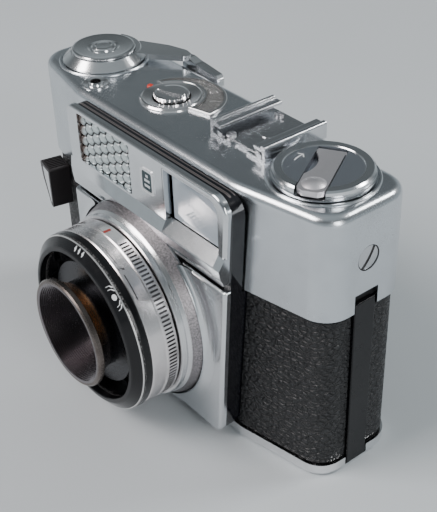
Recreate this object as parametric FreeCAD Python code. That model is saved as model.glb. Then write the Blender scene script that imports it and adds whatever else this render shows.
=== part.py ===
"""Single-lens 35 mm viewfinder camera, about 1960, with a honeycomb light-meter window.

Millimetres. The origin is the centre of the tripod socket on the flat bottom. +Z is up, the lens looks
along -Y and +X is on the right of somebody who faces the lens. Every piece is its own solid in its own file.
"""

import FreeCAD
import Part

import math
import os

# ---- driving dimensions ------------------------------------------------------------------------
HALF_WIDTH = 60.6
FRONT_Y = -16.0
BACK_Y = 16.0
HEIGHT = 79.3
TAPER_START_X = 33.7
TAPER_DEG = 11.2
CORNER_R = 7.5

COVER_EDGE_Z = 50.7
COVER_WALL = 0.8
COVER_TOP_R = 2.5
BASE_RIM_Z = 3.6
BASE_INSET = 0.3
BASE_WALL = 0.8
SKIN_OUT = 0.9
CASTING_INSET = 1.6

LENS_Z = 30.8
PANEL_Y = -21.5
FLANGE_Y = -19.6
PANEL_LEFT_TOP = -30.6
PANEL_LEFT_LOW = -29.6
PANEL_RIGHT_TOP = 37.9
PANEL_RIGHT_LOW = 31.9
PANEL_TOP_Z = 78.5
PANEL_LOW_Z = 3.2
PANEL_SPLIT_Z = 53.1
PANEL_GAP = 2.0
PANEL_WALL = 0.9
CONE_R = 28.0
FLARE_REACH, FLARE_RISE = 3.0, 1.4
WINDOW = (-25.1, 63.0, -1.0, 77.2)
FINDER_HOLE = (12.9, 62.4, 34.8, 77.2)
SILL_TOP_Z, SILL_RIDGE_Z, SILL_FOOT_Z = 62.4, 59.4, 56.6
SILL_RIDGE_Y, SILL_FOOT_Y = -23.2, -22.5
SILL_FULL_X = -8.0
POCKET = (13.5, 34.0)
EYE_HOLE = (17.2, 65.6, 27.4, 74.4)
TUBE_FRONT_Y, TUBE_THROAT_Y = -46.0, -36.4
TUBE_MOUTH_R, TUBE_THROAT_R = 13.9, 10.2

KNOB_X, KNOB_Y = 44.4, 2.1
KNOB_R = 12.35
CRANK_DEG = -59.0
LEVER_X, LEVER_Y = -45.3, 1.2
LEVER_HUB_R = 11.7
COUNTER_X, COUNTER_Y = -11.7, 0.2
SPROCKET_X, SPROCKET_Y = -30.3, 1.2
SOCKET_X, SOCKET_Y = -32.4, -10.2
BUTTON_R = 2.6
BOTTOM_SCREW_PLACES = [(24.0, -8.0), (-18.0, -8.0)]
END_SCREW_Y, END_SCREW_Z = 1.5, 65.2
SCREW_HEAD_R, SCREW_HEAD_HEIGHT = 3.1, 1.3

CHAMBER_FLOOR_Z = 7.0
CHAMBER_ROOF_Z = 49.0
DECK_Z = 52.0
LIGHT_BOX_HALF = 21.5
LIGHT_BOX_LOW_Z = 11.5
CASSETTE_DIVIDER_X = 31.5
CASSETTE_WALLS = [
    (CASSETTE_DIVIDER_X, 12.0), (CASSETTE_DIVIDER_X, -7.5), (34.8, -10.8), (44.0, -10.8), (53.0, -8.9),
    (57.3, -4.2), (57.3, 12.0),
]
TAKEUP_R = 11.4
SPROCKET_POCKET_R = 7.8
GEAR_Z = 52.6
GEAR_THICK = 1.6
GEAR_MODULE = 0.5
LEVER_TEETH = 36
IDLER_TEETH = 14
SPROCKET_TEETH = 17
IDLER_POST_R = 1.2

DOOR_Y = 5.0
DOOR_LOW_Z = 4.3
DOOR_TOP_Z = 50.2
DOOR_WALL = 1.2
HINGE_X, HINGE_Y = -60.0, 4.85
HINGE_R = 1.5
HINGE_PIN_R = 0.7
HINGE_STEPS = [5.0, 13.0, 21.5, 33.0, 41.5, 49.5]
LATCH_Y = (-1.8, 4.9)
LATCH_OUT_X = 60.4
NOTCH_TOP_Z = 55.8

KEY_X = -53.1
KEY_HALF = 4.0
KEY_OUT = 5.9
KEY_TOP_Z = 47.6
KEY_LOW_Z = 34.6
KEY_TRAVEL = 5.0
KEY_TONGUE_Z = (41.0, 45.6)
KEY_GROOVES = 7

CRANK_HALF = 3.35
CRANK_TIP = 12.0
CRANK_LOW_Z = HEIGHT + 1.45
CRANK_TOP_Z = HEIGHT + 2.85
CRANK_PIVOT = (-7.4, (CRANK_LOW_Z + CRANK_TOP_Z) / 2)

ARM_LOW_Z = HEIGHT + 1.3
ARM_TOP_Z = HEIGHT + 2.7

SHOE_LEFT, SHOE_RIGHT = 11.0, 31.4
SHOE_FRONT, SHOE_BACK = -4.6, 15.4
SHOE_WALL = 0.9
SHOE_SLOT_HEIGHT = 2.1
SHOE_LIP = 3.05

TRIPOD_R = 3.175
TRIPOD_DEPTH = 6.0
CABLE_R = 1.45
CABLE_DEPTH = 5.0

RUNNING = 0.06
FREE = 0.3


# ---- shape helpers -----------------------------------------------------------------------------
def vec(x, y, z):
    return FreeCAD.Vector(x, y, z)


def box(low, high):
    return Part.makeBox(high[0] - low[0], high[1] - low[1], high[2] - low[2], vec(*low))


def cyl_z(x, y, radius, low, high):
    return Part.makeCylinder(radius, high - low, vec(x, y, low), vec(0, 0, 1))


def cyl_y(x, z, radius, front, back):
    return Part.makeCylinder(radius, back - front, vec(x, front, z), vec(0, 1, 0))


def cyl_x(y, z, radius, low, high):
    return Part.makeCylinder(radius, high - low, vec(low, y, z), vec(1, 0, 0))


def join(shapes):
    """Fuse a list of overlapping solids into one."""
    result = shapes[0].multiFuse(shapes[1:]) if len(shapes) > 1 else shapes[0]
    return result.removeSplitter()


def group(shapes):
    """Keep separate solids together in one node."""
    return Part.makeCompound(shapes)


def rounded_edges(points, radii):
    """Edges of a closed outline whose corners are rounded; a radius of 0 leaves a sharp corner."""
    count = len(points)
    flat = [vec(p[0], p[1], 0) for p in points]
    entries = []
    for i in range(count):
        here = flat[i]
        to_last = (flat[i - 1] - here).normalize()
        to_next = (flat[(i + 1) % count] - here).normalize()
        if radii[i] <= 0:
            entries.append((here, None, here))
            continue
        half = to_last.getAngle(to_next) / 2
        reach = radii[i] / math.tan(half)
        bisector = (to_last + to_next).normalize()
        middle = here + bisector * (radii[i] / math.sin(half) - radii[i])
        entries.append((here + to_last * reach, middle, here + to_next * reach))
    edges = []
    for i in range(count):
        start, middle, end = entries[i]
        if middle is not None:
            edges.append(Part.Arc(start, middle, end).toShape())
        following = entries[(i + 1) % count][0]
        if end.distanceToPoint(following) > 1e-6:
            edges.append(Part.LineSegment(end, following).toShape())
    return edges


def prism_z(points, radii, low, high):
    """An outline given in X and Y, extruded from one height to another."""
    face = Part.Face(Part.Wire(rounded_edges(points, radii)))
    face.translate(vec(0, 0, low))
    return face.extrude(vec(0, 0, high - low))


def prism_y(points, radii, front, back):
    """An outline given in X and Z, extruded from front to back."""
    face = Part.Face(Part.Wire(rounded_edges(points, radii)))
    face.rotate(vec(0, 0, 0), vec(1, 0, 0), 90)
    face.translate(vec(0, back, 0))
    return face.extrude(vec(0, front - back, 0))


def rectangle(low_a, low_b, high_a, high_b):
    return [(low_a, low_b), (high_a, low_b), (high_a, high_b), (low_a, high_b)]


def turned(profile, centre, axis):
    """Revolve a closed (radius, position) outline about a line through centre along axis."""
    points = [vec(r, 0, h) for r, h in profile]
    solid = Part.Face(Part.makePolygon(points + [points[0]])).revolve(vec(0, 0, 0), vec(0, 0, 1), 360)
    solid = Part.makeSolid(solid) if solid.ShapeType == "Shell" else solid
    if axis == "y":
        solid.rotate(vec(0, 0, 0), vec(1, 0, 0), -90)
    solid.translate(vec(*centre))
    return solid


def turned_lens(profile):
    """A turned ring on the lens axis; the outline is (radius, y)."""
    return turned(profile, (0, 0, LENS_Z), "y")


def turned_top(x, y, profile):
    """A turned ring on an upright axis; the outline is (radius, z)."""
    return turned(profile, (x, y, 0), "z")


def fillet_where(solid, radius, test):
    """Round the edges that a test on the bounding box picks out."""
    edges = [edge for edge in solid.Edges if test(edge.BoundBox)]
    return solid.makeFillet(radius, edges)


def frustum(front_rect, front_y, back_rect, back_y):
    """A tapered box between two upright rectangles given as (x0, z0, x1, z1)."""
    wires = []
    for rect, y in ((front_rect, front_y), (back_rect, back_y)):
        corners = [vec(a, y, b) for a, b in rectangle(*rect)]
        wires.append(Part.makePolygon(corners + [corners[0]]))
    return Part.makeLoft(wires, True, True)


# ---- shared outlines ---------------------------------------------------------------------------
def body_plan(inset):
    """The camera seen from above, offset inwards; the front tapers back towards both ends."""
    taper = math.radians(TAPER_DEG)
    knee = TAPER_START_X - inset * math.tan(taper / 2)
    end = HALF_WIDTH - inset
    front = FRONT_Y + inset
    end_front = FRONT_Y + (end - TAPER_START_X) * math.tan(taper) + inset / math.cos(taper)
    back = BACK_Y - inset
    points = [(-knee, front), (knee, front), (end, end_front), (end, back), (-end, back), (-end, end_front)]
    corner = CORNER_R - inset
    return points, [20.0, 20.0, corner, corner, corner, corner]


def body_prism(inset, low, high):
    points, radii = body_plan(inset)
    return prism_z(points, radii, low, high)


def panel_edge_x(side_top, side_low, z):
    share = (PANEL_TOP_Z - z) / (PANEL_TOP_Z - PANEL_LOW_Z)
    return side_top + (side_low - side_top) * share


def panel_outline(low_z, top_z, grow):
    """Outline of the front panel between two heights, grown outwards at its sides, top and bottom."""
    left_low = panel_edge_x(PANEL_LEFT_TOP, PANEL_LEFT_LOW, low_z) - grow
    right_low = panel_edge_x(PANEL_RIGHT_TOP, PANEL_RIGHT_LOW, low_z) + grow
    left_top = panel_edge_x(PANEL_LEFT_TOP, PANEL_LEFT_LOW, top_z) - grow
    right_top = panel_edge_x(PANEL_RIGHT_TOP, PANEL_RIGHT_LOW, top_z) + grow
    return [(left_low, low_z), (right_low, low_z), (right_top, top_z), (left_top, top_z)]


def lens_disc(radius, front, back):
    return cyl_y(0, LENS_Z, radius, front, back)


# ---- shells ------------------------------------------------------------------------------------
def make_top_cover():
    outer = body_prism(0, COVER_EDGE_Z, HEIGHT)
    outer = fillet_where(outer, COVER_TOP_R, lambda b: b.ZMin > HEIGHT - 0.01)
    inner = body_prism(COVER_WALL, COVER_EDGE_Z - 1, HEIGHT - COVER_WALL)
    inner = fillet_where(inner, COVER_TOP_R - COVER_WALL, lambda b: b.ZMin > HEIGHT - COVER_WALL - 0.01)
    cover = outer.cut(inner)
    shoe_low = (SHOE_LEFT - 0.1, SHOE_FRONT - 0.1, HEIGHT)
    shoe_space = box(shoe_low, (SHOE_RIGHT + 0.1, SHOE_BACK + 0.1, HEIGHT + 2))
    for x, y, radius in ((KNOB_X, KNOB_Y, KNOB_R), (LEVER_X, LEVER_Y, LEVER_HUB_R)):
        lip = [
            (radius + 0.35, HEIGHT - 0.7),
            (radius + 1.3, HEIGHT - 0.7),
            (radius + 1.25, HEIGHT + 0.15),
            (radius + 0.95, HEIGHT + 0.42),
            (radius + 0.5, HEIGHT + 0.42),
            (radius + 0.35, HEIGHT + 0.25),
        ]
        ring = turned_top(x, y, lip)
        cover = cover.fuse(ring.cut(shoe_space))
    notch_low = (HALF_WIDTH - 2, LATCH_Y[0] - 0.4, COVER_EDGE_Z - 1)
    cuts = [
        cyl_z(KNOB_X, KNOB_Y, 2.8, HEIGHT - 3, HEIGHT + 3),
        cyl_z(LEVER_X, LEVER_Y, 2.9, HEIGHT - 3, HEIGHT + 3),
        cyl_z(COUNTER_X, COUNTER_Y, 5.3, HEIGHT - 3, HEIGHT + 3),
        cyl_z(SOCKET_X, SOCKET_Y, 2.9, HEIGHT - 3, HEIGHT + 3),
        crescent(-0.6, HEIGHT - 3, HEIGHT + 3),
        prism_y(rectangle(-28, COVER_EDGE_Z - 1, 34.5, 76.2), [0, 0, 1, 1], FRONT_Y - 1, FRONT_Y + 2.0),
        prism_y(rectangle(*EYE_HOLE), [1.5] * 4, BACK_Y - 2, BACK_Y + 2),
        box(notch_low, (HALF_WIDTH + 1, LATCH_Y[1] + 0.4, NOTCH_TOP_Z)),
    ]
    for side in (-1, 1):
        low = min(side * (HALF_WIDTH - 2), side * (HALF_WIDTH + 1))
        cuts.append(cyl_x(END_SCREW_Y, END_SCREW_Z, SCREW_HEAD_R + FREE, low, low + 3))
    for x, y in shoe_screw_places():
        cuts.append(cyl_z(x, y, 0.75, HEIGHT - 3, HEIGHT + 3))
    return cover.cut(group(cuts))


def make_bottom_cover():
    outer = body_prism(BASE_INSET, 0, BASE_RIM_Z)
    outer = fillet_where(outer, 1.2, lambda b: b.ZMax < 0.01)
    inner = body_prism(BASE_INSET + BASE_WALL, BASE_WALL, BASE_RIM_Z + 1)
    cover = outer.cut(inner)
    notch_low = (HALF_WIDTH - 2.2, LATCH_Y[0] - 0.4, 1.0)
    notch_high = (HALF_WIDTH + 1, LATCH_Y[1] + 0.4, BASE_RIM_Z + 1)
    cuts = [
        cyl_z(0, 0, 5.05, -1, 2),
        cyl_z(SPROCKET_X, SPROCKET_Y, BUTTON_R + FREE, -1, 2),
        box(notch_low, notch_high),
    ]
    for x, y in BOTTOM_SCREW_PLACES:
        cuts.append(cyl_z(x, y, SCREW_HEAD_R + FREE, -1, 2))
    return cover.cut(group(cuts))


def casting_blank():
    """Die-cast body: two film chambers, a light chamber, a full-depth floor and a full-depth deck."""
    front = body_prism(CASTING_INSET, 1.0, DECK_Z).common(box((-70, -20, 0), (70, DOOR_Y - 0.3, 60)))
    floor = body_prism(1.2, 1.0, 3.3)
    floor = floor.fuse(body_prism(CASTING_INSET, 3.0, 4.0))
    deck = body_prism(CASTING_INSET, DOOR_TOP_Z + FREE, DECK_Z)
    divider = box((LIGHT_BOX_HALF, -10, 3), (CASSETTE_DIVIDER_X, 6.6, DECK_Z - 0.5))
    casting = front.multiFuse([floor, deck, divider])
    post_x, post_y = idler_centre()
    casting = casting.fuse(cyl_z(post_x, post_y, IDLER_POST_R, DECK_Z - 1, GEAR_Z + GEAR_THICK + 0.6))
    for side in (-1, 1):
        low_x = min(side * 57.4, side * 58.9)
        casting = casting.fuse(box((low_x, -3.5, DECK_Z - 1), (low_x + 1.5, 6.5, END_SCREW_Z + 4)))
    cuts = [
        prism_z(CASSETTE_WALLS, [0] * len(CASSETTE_WALLS), CHAMBER_FLOOR_Z, CHAMBER_ROOF_Z),
        cyl_z(KNOB_X, KNOB_Y, 5.2, 2.2, CHAMBER_FLOOR_Z + 1),
        cyl_z(LEVER_X, LEVER_Y, TAKEUP_R, CHAMBER_FLOOR_Z, CHAMBER_ROOF_Z),
        box((LEVER_X - TAKEUP_R, LEVER_Y, CHAMBER_FLOOR_Z), (LEVER_X + TAKEUP_R, 12, CHAMBER_ROOF_Z)),
        cyl_z(SPROCKET_X, SPROCKET_Y, SPROCKET_POCKET_R, CHAMBER_FLOOR_Z, CHAMBER_ROOF_Z),
        box((-38.1, SPROCKET_Y, CHAMBER_FLOOR_Z), (-22.5, 12, CHAMBER_ROOF_Z)),
        box((-LIGHT_BOX_HALF, -20, LIGHT_BOX_LOW_Z), (LIGHT_BOX_HALF, 12, CHAMBER_ROOF_Z)),
        cyl_z(KNOB_X, KNOB_Y, 2.4 + RUNNING, CHAMBER_ROOF_Z - 1, DECK_Z + 1),
        cyl_z(LEVER_X, LEVER_Y, 1.6 + RUNNING, CHAMBER_ROOF_Z - 1, 49.8),
        cyl_z(LEVER_X, LEVER_Y, 2.5 + RUNNING, 50.3, DECK_Z + 1),
        cyl_z(LEVER_X, LEVER_Y, 2.0 + RUNNING, 5.0, CHAMBER_FLOOR_Z + 1),
        cyl_z(SPROCKET_X, SPROCKET_Y, 2.0 + RUNNING, 3.0, DECK_Z + 1),
        cyl_z(SPROCKET_X, SPROCKET_Y, 3.4 + FREE, 0, 4.2),
        cyl_z(0, 0, 5.02, 0, 7.1),
        cyl_z(HINGE_X, HINGE_Y, HINGE_R + 0.4, DOOR_LOW_Z - 0.2, DOOR_TOP_Z + 0.1),
        box((HALF_WIDTH - 1.6, LATCH_Y[0] - 0.4, 0), (HALF_WIDTH, LATCH_Y[1] + 0.4, 6)),
        key_slot(),
    ]
    for x, y in BOTTOM_SCREW_PLACES:
        cuts.append(cyl_z(x, y, 1.25, 0, 4.8))
        cuts.append(cyl_z(x, y, SCREW_HEAD_R + FREE, 0, SCREW_HEAD_HEIGHT + 0.2))
    for side in (-1, 1):
        low = min(side * 56, side * 60)
        cuts.append(cyl_x(END_SCREW_Y, END_SCREW_Z, 1.25, low, low + 4))
    return casting.cut(group(cuts))


def cassette_wing():
    return box((CASSETTE_DIVIDER_X, -20, 0), (70, 20, END_SCREW_Z + 5))


def make_body_casting():
    """Main casting, from the hinged end to the flat face that the cassette housing is bolted to."""
    return casting_blank().cut(cassette_wing()).fuse(group(hinge_knuckles(0, -1))).removeSplitter()


def make_cassette_housing():
    """Right-hand wing of the casting, with the chamber that the film cassette drops into."""
    return casting_blank().common(cassette_wing())


def make_light_box():
    """Block between the shutter and the film: a tapered tunnel as wide as the picture at its back."""
    block = box((-LIGHT_BOX_HALF, -14.4, LIGHT_BOX_LOW_Z), (LIGHT_BOX_HALF, 6.6, CHAMBER_ROOF_Z))
    tunnel_front = (-13, LENS_Z - 10, 13, LENS_Z + 10)
    tunnel_back = (-18, LENS_Z - 12, 18, LENS_Z + 12)
    return block.cut(frustum(tunnel_front, -15, tunnel_back, 6.8))


def hinge_knuckles(first, side):
    """Every second hinge knuckle with its web; side is -1 towards the body and +1 towards the door."""
    knuckles = []
    for i in range(first, len(HINGE_STEPS) - 1, 2):
        low = HINGE_STEPS[i] + 0.15
        high = HINGE_STEPS[i + 1] - 0.15
        barrel = cyl_z(HINGE_X, HINGE_Y, HINGE_R, low, high)
        near = HINGE_Y + 0.15 * side
        far = HINGE_Y + 1.4 * side
        web = box((HINGE_X, min(near, far), low), (HINGE_X + 3.2, max(near, far), high))
        bore = HINGE_PIN_R + (RUNNING if side > 0 else 0.0)
        knuckles.append(barrel.fuse(web).cut(cyl_z(HINGE_X, HINGE_Y, bore, low - 1, high + 1)))
    return knuckles


def make_hinge_pin():
    return cyl_z(HINGE_X, HINGE_Y, HINGE_PIN_R, HINGE_STEPS[0] + 0.15, HINGE_STEPS[-1] - 0.15)


def make_tripod_bush():
    bush = cyl_z(0, 0, 5.0, 0, 7.0)
    return bush.cut(cyl_z(0, 0, TRIPOD_R, -1, TRIPOD_DEPTH))


def slotted_screw(head_r, head_height, shank_r, length):
    """An upright screw whose slightly domed head starts at z = 0 and whose shank points up."""
    dome = 0.25
    sphere_r = (head_r ** 2 + dome ** 2) / (2 * dome)
    head = cyl_z(0, 0, head_r, 0, head_height).common(Part.makeSphere(sphere_r, vec(0, 0, sphere_r)))
    slot = box((-head_r - 1, -head_r * 0.15, -1), (head_r + 1, head_r * 0.15, head_height * 0.6))
    return head.cut(slot).fuse(cyl_z(0, 0, shank_r, head_height - 0.1, length)).removeSplitter()


def make_cover_screws():
    """Four identical screws: two hold the bottom cover and one holds each end of the top cover."""
    screws = []
    for x, y in BOTTOM_SCREW_PLACES:
        screw = slotted_screw(SCREW_HEAD_R, SCREW_HEAD_HEIGHT, 1.2, 4.4)
        screw.translate(vec(x, y, 0.1))
        screws.append(screw)
    for side in (-1, 1):
        screw = slotted_screw(SCREW_HEAD_R, SCREW_HEAD_HEIGHT, 1.2, 4.4)
        screw.rotate(vec(0, 0, 0), vec(0, 0, 1), 35)
        screw.rotate(vec(0, 0, 0), vec(0, 1, 0), -90 * side)
        screw.translate(vec(side * (HALF_WIDTH + 0.05), END_SCREW_Y, END_SCREW_Z))
        screws.append(screw)
    return group(screws)


# ---- leather -----------------------------------------------------------------------------------
def leather_band():
    return body_prism(SKIN_OUT, 4.2, COVER_EDGE_Z - 1.0).cut(body_prism(CASTING_INSET, 3, 52))


def make_leather(side):
    """Leatherette beside the front panel, round one front corner and along one end."""
    low_x = -70 if side < 0 else 0
    last_y = HINGE_Y - 1.0 if side < 0 else LATCH_Y[0] - 0.45
    half = leather_band().common(box((low_x, -20, 0), (low_x + 70, last_y, 60)))
    core_hole = prism_y(panel_outline(-3.0, PANEL_TOP_Z, 0.8), [0] * 4, -20, 0)
    half = half.cut(core_hole)
    if side < 0:
        cutter = cyl_z(HINGE_X, HINGE_Y, HINGE_R + 0.4, 0, 60)
        half = half.cut(group([cutter, key_slot()]))
    return half


def make_leather_door():
    skin = body_prism(SKIN_OUT, DOOR_LOW_Z + 0.4, DOOR_TOP_Z - 0.3)
    skin = skin.cut(body_prism(CASTING_INSET, 0, 60))
    skin = skin.common(box((-70, DOOR_Y + 0.5, 0), (70, 20, 60)))
    return skin.cut(cyl_z(HINGE_X, HINGE_Y, HINGE_R + 0.4, 0, 60))


# ---- front panels ------------------------------------------------------------------------------
def make_front_core():
    """Black spacer frame between the body and the panel flange."""
    top_part = prism_y(panel_outline(PANEL_LOW_Z, PANEL_TOP_Z - 0.8, 0.4), [3, 3, 5, 3], FLANGE_Y, FRONT_Y)
    low_part = prism_y(
        panel_outline(PANEL_LOW_Z + 0.6, COVER_EDGE_Z - 0.5, 0.4), [3, 3, 0, 0], FRONT_Y - 0.2, -14.4
    )
    hollow = prism_y(panel_outline(PANEL_LOW_Z + 3.2, PANEL_TOP_Z - 1.7, -2.2), [2] * 4, -21, -14)
    return top_part.fuse(low_part).removeSplitter().cut(hollow)


def sill_section(x, share):
    """Section of the sloping sill at one place along X; share is how much of its full reach it has."""
    low_z = PANEL_SPLIT_Z + PANEL_GAP / 2
    ridge_y = PANEL_Y + (SILL_RIDGE_Y - PANEL_Y) * share
    foot_y = PANEL_Y + (SILL_FOOT_Y - PANEL_Y) * share
    section = [
        (FLANGE_Y, SILL_TOP_Z), (PANEL_Y, SILL_TOP_Z), (ridge_y, SILL_RIDGE_Z), (foot_y, SILL_FOOT_Z),
        (PANEL_Y, low_z + 0.5), (PANEL_Y, low_z), (FLANGE_Y, low_z),
    ]
    points = [vec(x, y, z) for y, z in section]
    return Part.makePolygon(points + [points[0]])


def make_sill():
    """The sill below the windows: it grows out of the panel's left end and is full beside the lens."""
    growing = Part.makeLoft([sill_section(-40, -0.1), sill_section(SILL_FULL_X, 1.0)], True, True)
    full = Part.Face(sill_section(SILL_FULL_X, 1.0)).extrude(vec(53, 0, 0))
    return growing.fuse(full).removeSplitter()


def make_pocket():
    """Sloping floor in front of the finder glass, from the glass down to just behind the sill's ridge."""
    section = [
        (FLANGE_Y + 0.2, SILL_TOP_Z + 0.1), (SILL_RIDGE_Y + 0.25, SILL_RIDGE_Z + 0.1),
        (SILL_RIDGE_Y - 1, SILL_RIDGE_Z + 0.6), (SILL_RIDGE_Y - 1, 66.0), (FLANGE_Y + 0.2, 66.0),
    ]
    points = [vec(POCKET[0], y, z) for y, z in section]
    return Part.Face(Part.makePolygon(points + [points[0]])).extrude(vec(POCKET[1] - POCKET[0], 0, 0))


def make_upper_panel():
    low_z = PANEL_SPLIT_Z + PANEL_GAP / 2
    outline = panel_outline(low_z, PANEL_TOP_Z, 0.0)
    plate = prism_y(outline, [0.6, 0.6, 5.0, 3.0], PANEL_Y, FLANGE_Y)
    plate = fillet_where(plate, 0.9, lambda b: b.YMax < PANEL_Y + 0.01 and b.ZMax > low_z + 1)
    inner_outline = panel_outline(SILL_TOP_Z, PANEL_TOP_Z - PANEL_WALL, -PANEL_WALL)
    inner = prism_y(inner_outline, [0, 0, 4, 2], PANEL_Y + PANEL_WALL, FLANGE_Y + 1)
    plate = plate.cut(inner)
    side_limit = prism_y(panel_outline(low_z, 70, 0.0), [0.6, 0.6, 0, 0], -25, FLANGE_Y)
    plate = plate.fuse(make_sill().common(side_limit)).removeSplitter()
    cuts = [
        prism_y(rectangle(*WINDOW), [0.6] * 4, -25, -18),
        prism_y(rectangle(*FINDER_HOLE), [0.8, 0.8, 3.5, 0.8], -25, -18),
        lens_disc(CONE_R + 0.6, -30, -18),
        make_pocket(),
    ]
    return plate.cut(group(cuts))


def make_flare():
    """Hollow-curved foot where the lower panel rises to meet the lens cone."""
    steps = 8
    profile = [(CONE_R + 0.35 + FLARE_REACH, PANEL_Y + 0.2), (CONE_R + 0.35, PANEL_Y + 0.2)]
    for i in range(steps + 1):
        turn = math.radians(90 * i / steps)
        rise = 0.03 + FLARE_RISE * (1 - math.sin(turn))
        profile.append((CONE_R + 0.35 + FLARE_REACH * (1 - math.cos(turn)), PANEL_Y - rise))
    return turned_lens(profile)


def make_lower_panel():
    top_z = PANEL_SPLIT_Z - PANEL_GAP / 2
    plate = prism_y(panel_outline(PANEL_LOW_Z, top_z, 0.5), [3.0, 3.0, 0.6, 0.6], PANEL_Y, FLANGE_Y)
    plate = fillet_where(plate, 0.9, lambda b: b.YMax < PANEL_Y + 0.01 and b.ZMin < top_z - 1)
    flare_limit = prism_y(panel_outline(PANEL_LOW_Z, top_z, -0.4), [0] * 4, -30, FLANGE_Y)
    flare = make_flare().common(flare_limit)
    plate = plate.multiFuse([lens_disc(CONE_R + 0.4, PANEL_Y + 0.1, FLANGE_Y), flare]).removeSplitter()
    return plate.cut(lens_disc(CONE_R - 1.4, -30, -18))


def make_badge_frame():
    outer = prism_y(rectangle(4.0, 67.1, 9.4, 73.9), [1.0] * 4, PANEL_Y - 0.3, PANEL_Y)
    return outer.cut(prism_y(rectangle(4.7, 67.8, 8.7, 73.2), [0.6] * 4, PANEL_Y - 1, PANEL_Y - 0.1))


def make_badge_insert():
    return prism_y(rectangle(4.75, 67.85, 8.65, 73.15), [0.55] * 4, PANEL_Y - 0.22, PANEL_Y - 0.1)


def make_finder_bezel():
    """Liner round the finder's opening, open at the bottom where the pocket's floor runs in."""
    left, low, right, top = FINDER_HOLE
    outer = rectangle(left + 0.1, low + 0.4, right - 0.1, top - 0.1)
    inner = rectangle(left + 0.5, low - 1, right - 0.5, top - 0.5)
    liner = prism_y(outer, [0, 0, 3.4, 0.7], PANEL_Y + 0.05, FLANGE_Y)
    return liner.cut(prism_y(inner, [0, 0, 3.0, 0.4], -25, -18))


def make_finder_front_lens():
    return box((14.4, FLANGE_Y + 0.15, 62.7), (34.2, -18.45, 76.5))


def make_finder_tube():
    outer = frustum((14.6, 63.2, 34.0, 76.0), -18.2, (16.6, 65.0, 28.0, 75.0), 14.9)
    inner = frustum((15.4, 64.0, 33.2, 75.2), -18.3, (17.6, 66.0, 27.0, 74.0), 15.0)
    return outer.cut(inner)


def make_eyepiece_frame():
    plate = prism_y(rectangle(15.6, 64.0, 29.0, 76.0), [2.5] * 4, BACK_Y, BACK_Y + 1.2)
    neck = prism_y(rectangle(17.3, 65.7, 27.3, 74.3), [1.4] * 4, BACK_Y - 0.9, BACK_Y + 0.1)
    frame = plate.fuse(neck).removeSplitter()
    return frame.cut(prism_y(rectangle(18.4, 66.8, 26.2, 73.2), [1.2] * 4, BACK_Y - 2, BACK_Y + 2))


def make_finder_eye_lens():
    return prism_y(rectangle(18.45, 66.85, 26.15, 73.15), [1.1] * 4, BACK_Y - 0.8, BACK_Y + 0.4)


def make_selenium_window():
    left, low, right, top = WINDOW
    pane = rectangle(left + 0.1, low + 0.1, right - 0.1, top - 0.1)
    return prism_y(pane, [0.5] * 4, PANEL_Y + 0.7, FLANGE_Y)


def make_selenium_cell():
    return box((WINDOW[0] + 0.2, FLANGE_Y + 0.3, WINDOW[1] + 0.2), (WINDOW[2] - 0.2, -18.4, 76.0))


def make_galvanometer():
    block = box((-22.0, -10.0, DECK_Z), (-8.0, 2.0, 61.0))
    coil = cyl_z(-15.0, -4.0, 4.6, 61.0, 63.0)
    post = cyl_z(-15.0, -4.0, 0.8, 62.9, 64.0)
    return block.multiFuse([coil, post]).removeSplitter()


def make_meter_needle():
    hub = cyl_z(-15.0, -4.0, 1.8, 63.2, 64.0).cut(cyl_z(-15.0, -4.0, 0.8 + RUNNING, 63, 65))
    arm = box((-13.6, -4.25, 63.4), (1.5, -3.75, 63.8))
    tail = box((-19.5, -4.5, 63.4), (-16.4, -3.5, 63.8))
    return hub.multiFuse([arm, tail]).removeSplitter()


# ---- lens --------------------------------------------------------------------------------------
def make_lens_cone():
    return turned_lens([
        (22.9, -19.8), (CONE_R - 1.5, -19.8), (CONE_R - 1.5, PANEL_Y), (CONE_R + 0.3, PANEL_Y),
        (CONE_R + 0.2, -22.1), (CONE_R - 1.3, -25.2), (CONE_R - 1.9, -25.9), (CONE_R - 2.1, -25.9),
        (CONE_R - 2.1, -26.4), (CONE_R - 1.7, -26.5), (CONE_R - 1.8, -27.6), (CONE_R - 2.0, -27.8),
        (22.9, -27.8),
    ])


def make_shutter_housing():
    shell = turned_lens([
        (10.5, -14.4), (22.5, -14.4), (22.5, -34.0), (20.5, -34.0), (20.5, -28.6), (10.5, -28.6),
    ])
    posts = [cyl_y(side * 14.0, LENS_Z, 1.0, -31.0, -28.5) for side in (-1, 1)]
    return shell.multiFuse(posts).removeSplitter()


def make_shutter_plate():
    plate = turned_lens([
        (12.6, -34.05), (22.5, -34.05), (22.5, -37.0), (21.6, -37.0), (21.6, -35.0), (12.6, -35.0),
    ])
    extras = []
    for angle in (20, 95, 160, 215, 300):
        x = 19.4 * math.cos(math.radians(angle))
        z = LENS_Z + 19.4 * math.sin(math.radians(angle))
        extras.append(cyl_y(x, z, 1.5, -35.8, -34.9))
    return plate.multiFuse(extras).removeSplitter()


def shutter_blade(side, layer_y):
    """A thin blade over half of the light path, on a pivot beside it."""
    disc = lens_disc(8.6, layer_y, layer_y + 0.2)
    keep_x = -1.0 if side > 0 else -9.0
    half = disc.common(box((keep_x, layer_y, LENS_Z - 9), (keep_x + 10.0, layer_y + 0.2, LENS_Z + 9)))
    arm = box((min(side * 7.0, side * 14.0), layer_y, LENS_Z - 1.6),
              (max(side * 7.0, side * 14.0), layer_y + 0.2, LENS_Z + 1.6))
    eye = cyl_y(side * 14.0, LENS_Z, 2.2, layer_y, layer_y + 0.2)
    hole = cyl_y(side * 14.0, LENS_Z, 1.0 + RUNNING, layer_y - 1, layer_y + 1)
    return half.multiFuse([arm, eye]).removeSplitter().cut(hole)


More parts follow.
